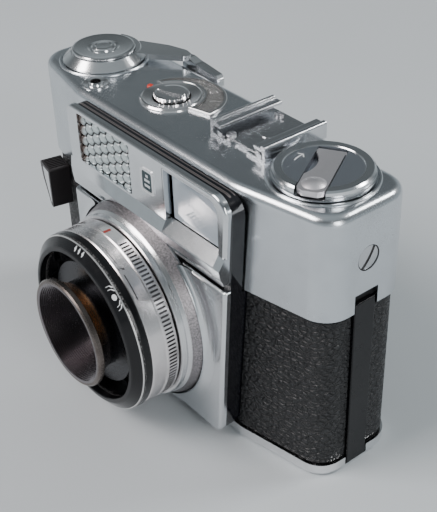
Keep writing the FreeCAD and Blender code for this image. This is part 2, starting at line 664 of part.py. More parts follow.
def make_aperture_ring():
    ring = turned_lens([
        (22.8, -28.1), (25.1, -28.1), (25.35, -28.4), (25.35, -31.7), (25.1, -32.0), (25.1, -32.3),
        (25.25, -32.4), (25.25, -36.0), (25.0, -36.3), (22.8, -36.3),
    ])
    groove_half = 0.28
    pitch_deg = 2.6
    grooves = []
    for middle in (-8, 172):
        for step in range(-26, 27):
            groove = box((24.95, -31.35, LENS_Z - groove_half), (26.5, -28.95, LENS_Z + groove_half))
            groove.rotate(vec(0, 0, LENS_Z), vec(0, 1, 0), middle + step * pitch_deg)
            grooves.append(groove)
    return ring.cut(group(grooves))


def make_focus_ring():
    return turned_lens([
        (22.8, -36.55), (25.2, -36.55), (25.35, -36.8), (25.3, -38.2), (25.1, -39.05), (24.9, -39.2),
        (22.7, -40.9), (22.3, -41.1), (21.4, -41.2), (21.2, -41.0), (21.2, -37.3), (22.8, -37.3),
    ])


def make_focus_tube():
    """Tube with a bright waist behind its rim; its inside narrows in steps that trap stray light."""
    outline = [
        (14.9, TUBE_FRONT_Y), (15.3, -45.6), (15.3, -44.4), (14.2, -43.6), (12.9, -41.8), (12.2, -40.2),
        (12.2, -38.0), (17.3, -37.9), (17.3, -37.2), (17.0, -36.9), (12.3, -36.9), (12.3, -33.4),
        (9.4, -33.4), (9.4, TUBE_THROAT_Y),
    ]
    steps = 18
    step_y = (TUBE_FRONT_Y - TUBE_THROAT_Y) / steps
    step_r = (TUBE_MOUTH_R - TUBE_THROAT_R) / steps
    inner = []
    for i in range(steps):
        radius = TUBE_THROAT_R + step_r * (i + 1)
        edge_y = TUBE_THROAT_Y + step_y * (i + 1)
        inner.append((radius, edge_y - step_y))
        inner.append((radius, edge_y + 0.2))
        inner.append((radius - 0.22, edge_y + 0.15))
    inner.append((TUBE_MOUTH_R, TUBE_FRONT_Y))
    return turned_lens(outline + inner)


def make_front_lens():
    return turned_lens([(0.0, -36.2), (4.0, -36.1), (9.4, -35.4), (9.4, -33.5), (0.0, -33.5)])


def make_rear_lens():
    return turned_lens([(0.0, -25.0), (10.5, -24.2), (10.5, -20.0), (0.0, -19.4)])


# ---- release key -------------------------------------------------------------------------------
def place_on_left_taper(shape):
    """Move a shape built against the plane y = 0 onto the tapered left end of the front."""
    shape.rotate(vec(0, 0, 0), vec(0, 0, 1), -TAPER_DEG)
    wall_y = FRONT_Y + (-KEY_X - TAPER_START_X) * math.tan(math.radians(TAPER_DEG))
    shape.translate(vec(KEY_X, wall_y, 0))
    return shape


def key_slot():
    low = (-2.5, -0.5, KEY_TONGUE_Z[0] - KEY_TRAVEL - 0.3)
    return place_on_left_taper(box(low, (2.5, 3.0, KEY_TONGUE_Z[1] + 0.3)))


def key_outline(inset):
    return [
        (KEY_HALF - inset, KEY_LOW_Z + inset),
        (KEY_HALF - inset, KEY_TOP_Z - inset),
        (-KEY_HALF + inset * 1.6, KEY_TOP_Z - inset),
        (-KEY_HALF + 1.2 + inset * 1.2, KEY_TOP_Z - 5.0),
        (KEY_HALF - 1.8 - inset * 0.2, KEY_LOW_Z + inset),
    ]


def make_release_key():
    block = prism_y(key_outline(0), [0.5, 0.8, 0.8, 6.0, 0.5], -KEY_OUT, 0.5)
    block = block.fuse(box((-2.2, 0.4, KEY_TONGUE_Z[0]), (2.2, 2.7, KEY_TONGUE_Z[1]))).removeSplitter()
    cuts = []
    pitch = (2 * KEY_HALF - 1.2) / KEY_GROOVES
    for i in range(KEY_GROOVES):
        x = -KEY_HALF + 0.8 + i * pitch
        cuts.append(box((x, -KEY_OUT + 0.7, KEY_TOP_Z - 0.35), (x + pitch * 0.45, 0.2, KEY_TOP_Z + 1)))
    cuts.append(prism_y(key_outline(1.1), [0.3, 0.3, 0.3, 4.0, 0.3], -KEY_OUT - 1, -KEY_OUT + 0.5))
    return place_on_left_taper(block.cut(group(cuts)))


def make_key_inlay():
    inlay = prism_y(key_outline(1.15), [0.3, 0.3, 0.3, 4.0, 0.3], -KEY_OUT + 0.05, -KEY_OUT + 0.5)
    return place_on_left_taper(inlay)


# ---- top fittings ------------------------------------------------------------------------------
def crescent(grow, low, high):
    """Crescent beside the counter bezel: a round outline less the bezel's circle, cut off at its end."""
    outer = cyl_z(COUNTER_X + 2.4, COUNTER_Y + 0.4, 12.9 + grow - 0.15, low, high)
    inner = cyl_z(COUNTER_X, COUNTER_Y, 8.6 - grow, low - 1, high + 1)
    limit = [(-26, 3.0 - grow), (-12, 3.0 - grow), (-6, -1.4 - grow), (6, 1.6 - grow), (6, 20), (-26, 20)]
    keep = prism_z(limit, [0] * len(limit), low - 1, high + 1)
    return outer.common(keep).cut(inner)


def make_counter_bezel():
    """Dished ring round the film-reminder wheel, in one piece with the raised frame of the counter window."""
    ring = turned_top(COUNTER_X, COUNTER_Y, [
        (5.2, HEIGHT), (5.2, HEIGHT + 0.4), (5.7, HEIGHT + 0.45), (7.3, HEIGHT + 0.8), (7.8, HEIGHT + 0.95),
        (8.2, HEIGHT + 0.8), (8.6, HEIGHT + 0.35), (8.7, HEIGHT),
    ])
    frame = crescent(0.1, HEIGHT, HEIGHT + 0.8)
    frame = fillet_where(frame, 0.35, lambda b: b.ZMin > HEIGHT + 0.79)
    return ring.fuse(frame.cut(crescent(-0.7, HEIGHT - 1, HEIGHT + 2))).removeSplitter()


def make_counter_window():
    """Clear window over the frame numbers, with a small magnifying dome over the number that is read."""
    dome_r, dome_height = 1.5, 0.7
    sphere_r = (dome_r ** 2 + dome_height ** 2) / (2 * dome_height)
    place = vec(COUNTER_X + 4.9, COUNTER_Y + 10.2, HEIGHT + 0.4 + dome_height - sphere_r)
    dome = Part.makeSphere(sphere_r, place).common(cyl_z(place.x, place.y, dome_r, HEIGHT - 0.2, HEIGHT + 2))
    return crescent(-0.8, HEIGHT - 0.8, HEIGHT + 0.4).fuse(dome).removeSplitter()


def make_counter_dial():
    low, high = HEIGHT - 2.2, HEIGHT - 1.5
    return turned_top(COUNTER_X, COUNTER_Y, [(3.0, low), (13.2, low), (13.2, high), (3.0, high)])


def make_counter_knob():
    wheel = turned_top(COUNTER_X, COUNTER_Y, [
        (0.0, HEIGHT + 0.1), (4.8, HEIGHT + 0.1), (4.8, HEIGHT + 1.4), (4.6, HEIGHT + 1.6),
        (3.9, HEIGHT + 1.7), (0.0, HEIGHT + 1.7),
    ])
    stem = cyl_z(COUNTER_X, COUNTER_Y, 1.8, HEIGHT - 3.4, HEIGHT + 0.2)
    notches = []
    for i in range(24):
        notch = cyl_z(COUNTER_X + 5.0, COUNTER_Y, 0.42, HEIGHT, HEIGHT + 2)
        notch.rotate(vec(COUNTER_X, COUNTER_Y, 0), vec(0, 0, 1), i * 15)
        notches.append(notch)
    wheel = wheel.cut(group(notches))
    bar = prism_z(rectangle(-4.3, -1.2, 4.3, 1.2), [1.1] * 4, HEIGHT + 1.6, HEIGHT + 2.3)
    bar.rotate(vec(0, 0, 0), vec(0, 0, 1), 20)
    bar.translate(vec(COUNTER_X, COUNTER_Y, 0))
    return wheel.multiFuse([stem, bar]).removeSplitter()


def make_cable_socket():
    """Threaded socket with a dished rim and a raised boss; its hole is blind."""
    top = HEIGHT + 0.9
    floor = top - CABLE_DEPTH
    return turned_top(SOCKET_X, SOCKET_Y, [
        (0.0, floor - 0.6), (2.8, floor - 0.6), (2.8, HEIGHT), (3.9, HEIGHT), (3.9, HEIGHT + 0.35),
        (3.5, HEIGHT + 0.45), (2.2, HEIGHT + 0.1), (2.0, top - 0.3), (1.8, top), (CABLE_R, top),
        (CABLE_R, floor), (0.0, floor),
    ])


def shoe_screw_places():
    return [(x, y) for x in (16.4, 27.2) for y in (-2.4, 13.2)]


def make_accessory_shoe():
    """Slide for a standard accessory foot: a floor, two walls and two inward lips, one cross-section."""
    floor = HEIGHT + 0.8
    lip = floor + SHOE_SLOT_HEIGHT
    shelf = lip + 0.9
    crest = shelf + 0.6
    inner_left = SHOE_LEFT + SHOE_WALL
    inner_right = SHOE_RIGHT - SHOE_WALL
    outline = [
        (SHOE_LEFT, HEIGHT), (SHOE_RIGHT, HEIGHT), (SHOE_RIGHT, crest), (inner_right - 0.5, crest),
        (inner_right - 0.5, shelf), (inner_right - SHOE_LIP, shelf), (inner_right - SHOE_LIP, lip),
        (inner_right, lip), (inner_right, floor), (inner_left, floor), (inner_left, lip),
        (inner_left + SHOE_LIP, lip), (inner_left + SHOE_LIP, shelf), (inner_left + 0.5, shelf),
        (inner_left + 0.5, crest), (SHOE_LEFT, crest),
    ]
    radii = [0, 0, 0.6, 0.3, 0.15, 0.3, 0.2, 0, 0, 0, 0, 0.2, 0.3, 0.15, 0.3, 0.6]
    shoe = prism_y(outline, radii, SHOE_FRONT, SHOE_BACK)
    cuts = [cyl_z(x, y, 0.75, HEIGHT - 1, floor + 1) for x, y in shoe_screw_places()]
    cuts.append(box((18.8, SHOE_FRONT - 1, HEIGHT - 1), (24.8, SHOE_FRONT + 0.9, floor + 1)))
    return shoe.cut(group(cuts))


def make_shoe_spring():
    """Thin leaf on the shoe's floor, with a tongue freed by a U-shaped cut and two raised front tabs."""
    low = HEIGHT + 0.8
    leaf = prism_z(rectangle(13.4, -3.4, 30.2, 14.4), [0.8] * 4, low, low + 0.3)
    slot = prism_z(rectangle(18.6, 2.0, 25.0, 12.0), [3.1, 3.1, 0.3, 0.3], low - 1, low + 1)
    tongue = prism_z(rectangle(19.6, 3.0, 24.0, 12.5), [2.1, 2.1, 0, 0], low, low + 0.3)
    leaf = leaf.cut(slot).fuse(tongue)
    for x in (13.6, 28.4):
        leaf = leaf.fuse(box((x, -4.3, low), (x + 1.6, -3.2, low + 0.3)))
        leaf = leaf.fuse(box((x, -4.5, low), (x + 1.6, -4.2, low + 1.1)))
    holes = [cyl_z(x, y, 0.8, low - 1, low + 1) for x, y in shoe_screw_places()]
    return leaf.removeSplitter().cut(group(holes))


def make_shoe_screws():
    screws = []
    for x, y in shoe_screw_places():
        head = cyl_z(x, y, 1.25, HEIGHT + 1.1, HEIGHT + 1.6)
        slot = box((x - 2, y - 0.18, HEIGHT + 1.4), (x + 2, y + 0.18, HEIGHT + 2))
        screws.append(head.cut(slot).fuse(cyl_z(x, y, 0.7, HEIGHT - 1.6, HEIGHT + 1.2)).removeSplitter())
    return group(screws)


# ---- rewind ------------------------------------------------------------------------------------
def place_crank(shape):
    """Turn a shape built along +X at the origin into the crank's direction on the knob."""
    shape.rotate(vec(0, 0, 0), vec(0, 0, 1), CRANK_DEG)
    shape.translate(vec(KNOB_X, KNOB_Y, 0))
    return shape


def make_rewind_knob():
    knob = turned_top(KNOB_X, KNOB_Y, [
        (0.0, HEIGHT + 0.35), (KNOB_R - 0.15, HEIGHT + 0.35), (KNOB_R, HEIGHT + 0.5), (KNOB_R, HEIGHT + 1.4),
        (KNOB_R - 0.2, HEIGHT + 1.5), (KNOB_R - 0.2, HEIGHT + 1.9), (KNOB_R - 0.3, HEIGHT + 2.6),
        (KNOB_R - 0.8, HEIGHT + 3.0), (9.7, HEIGHT + 3.0), (9.5, HEIGHT + 2.75), (0.0, HEIGHT + 2.75),
    ])
    slot_back = CRANK_PIVOT[0] - 1.3
    slot_half = CRANK_HALF + FREE
    slot = box((slot_back, -slot_half, HEIGHT + 1.0), (CRANK_TIP + 4, slot_half, HEIGHT + 5))
    bore_length = CRANK_HALF + 2.0
    holes = cyl_y(CRANK_PIVOT[0], CRANK_PIVOT[1], 0.4 + RUNNING, -bore_length, bore_length)
    knob = knob.cut(group([place_crank(slot), place_crank(holes)]))
    return knob.cut(cyl_z(KNOB_X, KNOB_Y, 2.4, HEIGHT, HEIGHT + 1.0))


def make_rewind_shaft():
    shaft = cyl_z(KNOB_X, KNOB_Y, 2.4, 44.6, HEIGHT + 1.0)
    slot = box((KNOB_X - 0.9, KNOB_Y - 4, 44), (KNOB_X + 0.9, KNOB_Y + 4, 48.0))
    return shaft.cut(slot)


def make_rewind_crank():
    """Flat handle hinged at one end, hollowed along its left edge, with a low finger dome near its tip."""
    pivot, pivot_z = CRANK_PIVOT
    outline = [
        (pivot, -CRANK_HALF), (CRANK_TIP - 1.2, -CRANK_HALF), (CRANK_TIP, -1.8), (CRANK_TIP, 1.8),
        (CRANK_TIP - 1.2, CRANK_HALF), (pivot, CRANK_HALF),
    ]
    blade = prism_z(outline, [0, 0.8, 1.0, 1.0, 0.8, 0], CRANK_LOW_Z, CRANK_TOP_Z)
    hollow_r, hollow_depth = 9.0, 1.7
    hollow_y = hollow_depth - CRANK_HALF - hollow_r
    blade = blade.cut(cyl_z(-0.5, hollow_y, hollow_r, CRANK_LOW_Z - 1, CRANK_TOP_Z + 1))
    barrel = cyl_y(pivot, pivot_z, (CRANK_TOP_Z - CRANK_LOW_Z) / 2, -CRANK_HALF, CRANK_HALF)
    dome_r, dome_height = 2.9, 0.9
    sphere_r = (dome_r ** 2 + dome_height ** 2) / (2 * dome_height)
    dome = Part.makeSphere(sphere_r, vec(8.2, 0, CRANK_TOP_Z + dome_height - sphere_r))
    dome = dome.common(cyl_z(8.2, 0, dome_r, CRANK_LOW_Z + 0.2, CRANK_TOP_Z + 2))
    pins = cyl_y(pivot, pivot_z, 0.4, -CRANK_HALF - 1.6, CRANK_HALF + 1.6)
    return place_crank(blade.multiFuse([barrel, dome, pins]).removeSplitter())


# ---- advance -----------------------------------------------------------------------------------
def make_advance_lever():
    """Flared hub with an arm along the back edge and a thumb piece behind the cover."""
    hub = turned_top(LEVER_X, LEVER_Y, [
        (2.5, HEIGHT + 0.35), (LEVER_HUB_R, HEIGHT + 0.35), (LEVER_HUB_R + 0.1, HEIGHT + 0.6),
        (LEVER_HUB_R - 0.2, HEIGHT + 0.85), (9.4, HEIGHT + 2.7), (2.5, HEIGHT + 2.7),
    ])
    outline = [
        (-44.0, 6.5), (-37.0, 6.3), (-31.8, 9.8), (-25.8, 14.6), (-24.9, 17.5), (-28.7, 18.3), (-35.0, 16.6),
        (-43.0, 12.4),
    ]
    arm = prism_z(outline, [0, 1.0, 5.0, 1.5, 1.2, 3.0, 8.0, 0], ARM_LOW_Z, ARM_TOP_Z)
    collar_sector = prism_z([(0, 0), (14, 10.5), (8, 16), (-8, 16)], [0] * 4, HEIGHT + 1.2, HEIGHT + 3.2)
    collar_sector.translate(vec(LEVER_X, LEVER_Y, 0))
    collar = turned_top(LEVER_X, LEVER_Y, [
        (9.25, HEIGHT + 1.2), (10.7, HEIGHT + 1.2), (10.7, HEIGHT + 2.9), (10.4, HEIGHT + 3.15),
        (9.25, HEIGHT + 3.15),
    ]).common(collar_sector)
    thumb_top = [
        (-28.4, HEIGHT - 3.0), (-12.6, HEIGHT - 3.0), (-12.0, HEIGHT - 0.4), (-13.4, HEIGHT + 0.6),
        (-22.5, HEIGHT + 0.9), (-25.6, HEIGHT + 2.0), (-28.4, HEIGHT + 2.0),
    ]
    thumb_plan = [(-28.6, 16.4), (-11.9, 16.4), (-11.9, 18.5), (-22.0, 19.4), (-28.6, 18.3)]
    thumb = prism_z(thumb_plan, [0.3, 0.9, 1.0, 6.0, 0.3], HEIGHT - 4, HEIGHT + 4)
    thumb = thumb.common(prism_y(thumb_top, [0.3, 1.2, 0.8, 1.0, 3.0, 2.0, 0], 10, 25))
    return hub.multiFuse([arm, collar, thumb]).removeSplitter()


def make_advance_cap():
    """Dished cap with a raised boss in its middle."""
    return turned_top(LEVER_X, LEVER_Y, [
        (0.0, HEIGHT + 2.75), (8.8, HEIGHT + 2.75), (9.1, HEIGHT + 3.0), (9.1, HEIGHT + 3.3),
        (8.9, HEIGHT + 3.6), (8.4, HEIGHT + 3.75), (7.6, HEIGHT + 3.65), (4.6, HEIGHT + 3.4),
        (4.0, HEIGHT + 3.15), (3.7, HEIGHT + 3.15), (3.5, HEIGHT + 3.6), (3.1, HEIGHT + 3.9),
        (2.5, HEIGHT + 3.95), (2.1, HEIGHT + 3.75), (0.0, HEIGHT + 3.7),
    ])


def idler_centre():
    """Centre of the idler that meshes with the lever gear and with the sprocket gear, in front of both."""
    span = SPROCKET_X - LEVER_X
    to_lever = GEAR_MODULE * (LEVER_TEETH + IDLER_TEETH) / 2
    to_sprocket = GEAR_MODULE * (SPROCKET_TEETH + IDLER_TEETH) / 2
    along = (to_lever ** 2 - to_sprocket ** 2 + span ** 2) / (2 * span)
    return LEVER_X + along, LEVER_Y - math.sqrt(to_lever ** 2 - along ** 2)


def direction_deg(x_from, y_from, x_to, y_to):
    return math.degrees(math.atan2(y_to - y_from, x_to - x_from))


def gear_phases():
    """Angles of one tooth on the lever gear, the idler and the sprocket gear, all in mesh at rest."""
    idler_x, idler_y = idler_centre()
    first = direction_deg(LEVER_X, LEVER_Y, idler_x, idler_y)
    idler_pitch = 360 / IDLER_TEETH
    idler_phase = first + 180 + idler_pitch / 2
    second = direction_deg(idler_x, idler_y, SPROCKET_X, SPROCKET_Y)
    off = (idler_phase - second) % idler_pitch
    sprocket_phase = second + 180 - off * IDLER_TEETH / SPROCKET_TEETH + 180 / SPROCKET_TEETH
    return first, idler_phase, sprocket_phase


def gear(x, y, teeth, phase_deg):
    """Spur gear with straight-sided teeth that leave backlash on both sides."""
    root = GEAR_MODULE * (teeth / 2 - 1.15)
    tip = GEAR_MODULE * (teeth / 2 + 0.8)
    top_z = GEAR_Z + GEAR_THICK
    outline = [(root - 0.3, -0.40), (tip, -0.15), (tip, 0.15), (root - 0.3, 0.40)]
    pieces = [cyl_z(x, y, root, GEAR_Z, top_z)]
    for i in range(teeth):
        tooth = prism_z(outline, [0] * 4, GEAR_Z, top_z)
        tooth.rotate(vec(0, 0, 0), vec(0, 0, 1), phase_deg + i * 360 / teeth)
        tooth.translate(vec(x, y, 0))
        pieces.append(tooth)
    return join(pieces)


def make_advance_shaft():
    shaft = cyl_z(LEVER_X, LEVER_Y, 2.5, 50.5, HEIGHT + 2.7)
    return shaft.fuse(gear(LEVER_X, LEVER_Y, LEVER_TEETH, gear_phases()[0])).removeSplitter()


def make_idler_gear():
    x, y = idler_centre()
    wheel = gear(x, y, IDLER_TEETH, gear_phases()[1])
    return wheel.cut(cyl_z(x, y, IDLER_POST_R + RUNNING, GEAR_Z - 1, GEAR_Z + GEAR_THICK + 1))


def make_takeup_spool():
    pieces = [
        cyl_z(LEVER_X, LEVER_Y, 5.6, 8.0, 48.4),
        cyl_z(LEVER_X, LEVER_Y, 8.5, 8.0, 9.0),
        cyl_z(LEVER_X, LEVER_Y, 8.5, 47.4, 48.4),
        cyl_z(LEVER_X, LEVER_Y, 2.0, 5.3, 8.2),
        cyl_z(LEVER_X, LEVER_Y, 1.6, 48.2, 49.6),
    ]
    film_slot = box((LEVER_X - 0.7, LEVER_Y - 9, 18), (LEVER_X + 0.7, LEVER_Y + 9, 42))
    return join(pieces).cut(film_slot)


def make_sprocket_drum():
    pieces = [
        cyl_z(SPROCKET_X, SPROCKET_Y, 2.0, 4.6, GEAR_Z + 0.2),
        cyl_z(SPROCKET_X, SPROCKET_Y, 4.4, 12.0, 48.4),
    ]
    for row_z in (LENS_Z - 14.1, LENS_Z + 14.1):
        pieces.append(cyl_z(SPROCKET_X, SPROCKET_Y, 5.9, row_z - 2, row_z + 2))
        for i in range(8):
            tooth = box((5.5, -0.6, row_z - 0.9), (6.9, 0.6, row_z + 0.9))
            tooth.rotate(vec(0, 0, 0), vec(0, 0, 1), i * 45)
            tooth.translate(vec(SPROCKET_X, SPROCKET_Y, 0))
            pieces.append(tooth)
    pieces.append(gear(SPROCKET_X, SPROCKET_Y, SPROCKET_TEETH, gear_phases()[2]))
    return join(pieces)


def make_rewind_button():
    button = cyl_z(SPROCKET_X, SPROCKET_Y, BUTTON_R, 0.2, 2.3)
    return button.fuse(cyl_z(SPROCKET_X, SPROCKET_Y, 3.4, 1.1, 1.8)).removeSplitter()


# ---- back --------------------------------------------------------------------------------------
def make_back_door():
    shell = body_prism(CASTING_INSET, DOOR_LOW_Z, DOOR_TOP_Z)
    shell = shell.cut(body_prism(CASTING_INSET + DOOR_WALL, 0, 60))
    shell = shell.common(box((-70, DOOR_Y, 0), (70, 20, 60)))
    shell = shell.cut(cyl_z(HINGE_X, HINGE_Y, HINGE_R + 0.4, 0, 60))
    return shell.fuse(group(hinge_knuckles(1, 1))).removeSplitter()


def make_pressure_plate():
    return prism_y(rectangle(-26, LENS_Z - 17.5, 26, LENS_Z + 17.5), [2.0] * 4, 8.7, 9.7)


def make_pressure_spring():
    """Bowed leaf riveted to the door."""
    door_inside = BACK_Y - CASTING_INSET - DOOR_WALL
    half = 16.0
    rise = 2.1
    points = [vec(-half, door_inside, 0), vec(0, door_inside - rise, 0), vec(half, door_inside, 0)]
    shifted = [p + vec(0, -0.35, 0) for p in points]
    front = Part.Arc(shifted[0], shifted[1], shifted[2]).toShape()
    back = Part.Arc(points[0], points[1], points[2]).toShape()
    ends = [Part.LineSegment(points[i], shifted[i]).toShape() for i in (0, 2)]
    leaf = Part.Face(Part.Wire(Part.__sortEdges__([front, back] + ends)))
    leaf.translate(vec(0, 0, LENS_Z - 4))
    return leaf.extrude(vec(0, 0, 8))


def make_latch_bar():
    bar = box((59.3, LATCH_Y[0], 1.3), (LATCH_OUT_X, LATCH_Y[1], 52.8))
    bar = fillet_where(bar, 1.0, lambda b: b.ZMin > 52.7 and b.XLength > 1 and b.YMax < LATCH_Y[0] + 0.01)
    return fillet_where(bar, 0.3, lambda b: b.XMin > LATCH_OUT_X - 0.01 and b.ZLength > 10)


def make_film_gate():
    """Polished frame round the picture opening, with two film rails above and below it."""
    half_width, half_height = 21.4, 17.8
    outline = rectangle(-half_width, LENS_Z - half_height, half_width, LENS_Z + half_height)
    plate = prism_y(outline, [1.0] * 4, 6.6, 7.4)
    rails = []
    for offset in (-16.6, -12.9, 12.1, 15.8):
        rails.append(box((-half_width, 7.3, LENS_Z + offset), (half_width, 8.0, LENS_Z + offset + 0.8)))
    gate = plate.multiFuse(rails).removeSplitter()
    return gate.cut(box((-18, 6, LENS_Z - 12), (18, 9, LENS_Z + 12)))


# ---- export ------------------------------------------------------------------------------------
PIECES = {
    "body_casting": make_body_casting,
    "cassette_housing": make_cassette_housing,
    "light_box": make_light_box,
    "top_cover": make_top_cover,
    "bottom_cover": make_bottom_cover,
    "tripod_bush": make_tripod_bush,
    "cover_screws": make_cover_screws,
    "front_core": make_front_core,
    "upper_panel": make_upper_panel,
    "lower_panel": make_lower_panel,
    "lens_cone": make_lens_cone,
    "selenium_window": make_selenium_window,
    "selenium_cell": make_selenium_cell,
    "badge_frame": make_badge_frame,
    "badge_insert": make_badge_insert,
    "finder_bezel": make_finder_bezel,
    "finder_front_lens": make_finder_front_lens,
    "finder_tube": make_finder_tube,
    "finder_eye_lens": make_finder_eye_lens,
    "eyepiece_frame": make_eyepiece_frame,
    "accessory_shoe": make_accessory_shoe,
    "shoe_spring": make_shoe_spring,
    "shoe_screws": make_shoe_screws,
    "leather_left": lambda: make_leather(-1),
    "leather_right": lambda: make_leather(1),
    "film_gate": make_film_gate,
    "counter_bezel": make_counter_bezel,
    "counter_window": make_counter_window,
    "counter_dial": make_counter_dial,
    "counter_knob": make_counter_knob,
    "galvanometer": make_galvanometer,
    "meter_needle": make_meter_needle,
    "cable_socket": make_cable_socket,
    "hinge_pin": make_hinge_pin,
    "shutter_housing": make_shutter_housing,
    "shutter_plate": make_shutter_plate,
    "shutter_blade_right": lambda: shutter_blade(1, -30.0),
    "shutter_blade_left": lambda: shutter_blade(-1, -30.6),
    "rear_lens": make_rear_lens,
    "aperture_ring": make_aperture_ring,
    "focus_ring": make_focus_ring,
    "focus_tube": make_focus_tube,
    "front_lens": make_front_lens,
    "rewind_knob": make_rewind_knob,
    "rewind_shaft": make_rewind_shaft,
    "rewind_crank": make_rewind_crank,
    "advance_lever": make_advance_lever,
    "advance_cap": make_advance_cap,
    "advance_shaft": make_advance_shaft,
    "idler_gear": make_idler_gear,
    "takeup_spool": make_takeup_spool,
    "sprocket_drum": make_sprocket_drum,
    "release_key": make_release_key,
    "key_inlay": make_key_inlay,
    "back_door": make_back_door,
    "leather_door": make_leather_door,
    "pressure_plate": make_pressure_plate,
    "pressure_spring": make_pressure_spring,
    "latch_bar": make_latch_bar,
    "rewind_button": make_rewind_button,
}


def main():
    os.makedirs("parts", exist_ok=True)
    for name, maker in PIECES.items():
        shape = maker()
        shape.exportStep(f"parts/{name}.step")
        print(f"{name}: {len(shape.Solids)} solid, {shape.Volume:.1f} mm3, valid {shape.isValid()}")


main()
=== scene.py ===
"""Viewfinder camera on a pale floor: materials, small detail pieces, light and the view."""

import math

import bmesh
import bpy
from mathutils import Matrix, Vector


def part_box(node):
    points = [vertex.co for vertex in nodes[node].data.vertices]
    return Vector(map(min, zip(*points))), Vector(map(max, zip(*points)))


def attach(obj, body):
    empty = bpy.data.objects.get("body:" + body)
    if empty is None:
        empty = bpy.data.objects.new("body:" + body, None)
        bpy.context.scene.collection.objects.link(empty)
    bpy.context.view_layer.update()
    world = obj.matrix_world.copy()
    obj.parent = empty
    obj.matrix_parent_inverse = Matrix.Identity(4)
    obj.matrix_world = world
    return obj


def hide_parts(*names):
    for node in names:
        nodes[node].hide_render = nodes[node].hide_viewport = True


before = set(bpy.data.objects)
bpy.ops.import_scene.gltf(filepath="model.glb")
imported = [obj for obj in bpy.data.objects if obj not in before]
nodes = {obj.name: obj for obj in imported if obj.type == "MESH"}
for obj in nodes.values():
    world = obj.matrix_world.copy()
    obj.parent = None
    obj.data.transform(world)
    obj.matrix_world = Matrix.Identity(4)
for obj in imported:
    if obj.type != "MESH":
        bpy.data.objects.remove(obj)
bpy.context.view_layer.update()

MM = 0.001


def box_mm(node):
    """Lowest and highest corners of a CAD node at rest, in millimetres."""
    low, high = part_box(node)
    return Vector(low) / MM, Vector(high) / MM


def middle_mm(node):
    """Middle of a CAD node at rest, in millimetres."""
    low, high = box_mm(node)
    return (low + high) / 2


# ---- places taken from the frame, in millimetres -----------------------------------------------
LENS_Z = middle_mm("focus_ring").z
TOP_Z = box_mm("counter_bezel")[0].z
KNOB = middle_mm("rewind_knob").xy
COUNTER = middle_mm("counter_dial").xy
BADGE = middle_mm("badge_insert")
BADGE_FACE_Y = box_mm("badge_insert")[0].y
WINDOW_EDGE = 0.1
WINDOW_LOW = box_mm("selenium_window")[0] + Vector((WINDOW_EDGE, 0, WINDOW_EDGE))
WINDOW_HIGH = box_mm("selenium_window")[1] - Vector((WINDOW_EDGE, 0, WINDOW_EDGE))

# ---- driving dimensions, in millimetres --------------------------------------------------------
# A pair in brackets is where a band of colour or gloss starts and stops along its axis.
CONE_SLOPE_Y = (-25.1, -22.0)
KNURL_Y = (-31.4, -28.9)
KNURL_R = (25.0, 25.25)
RING_LINE_Y = (-39.24, -39.0)
RING_BORDER_Y = (-39.0, -38.45)
TUBE_WAIST_Y = (-44.1, -40.9)
TUBE_BACK_Y = (-40.9, -40.2)
# Painted highlight: the tube's brassy waist patches fade in over these heights, on the upper side.
WAIST_LIT_Z = (33.0, 40.0)
CORE_TOP_Z = (77.2, 77.5)
CORE_WIDE_LINE_Y = (-18.1, -17.6)
CORE_THIN_LINE_Y = (-16.6, -16.4)
WINDOW_CLEAR_X = (-24.3, -23.1)
DOME_FOOT_Y = (-20.6, -20.3)
KNOB_DISC_EDGE_R = (9.3, 9.6)
# The tube's bore narrows by BORE_TAPER per millimetre; radius plus taper times y is BORE_WALL at its wall.
BORE_TAPER = 0.385
BORE_WALL = (-3.5, -3.35)
# Painted marks run from a little under their surface to a little above it.
STROKE_SUNK, STROKE_RAISED = -0.05, 0.03
DIAL_SUNK, DIAL_RAISED = -0.04, 0.03
END_SCREW_Y, END_SCREW_Z, END_SCREW_R, END_FACE_X = 1.5, 65.2, 3.1, 60.65


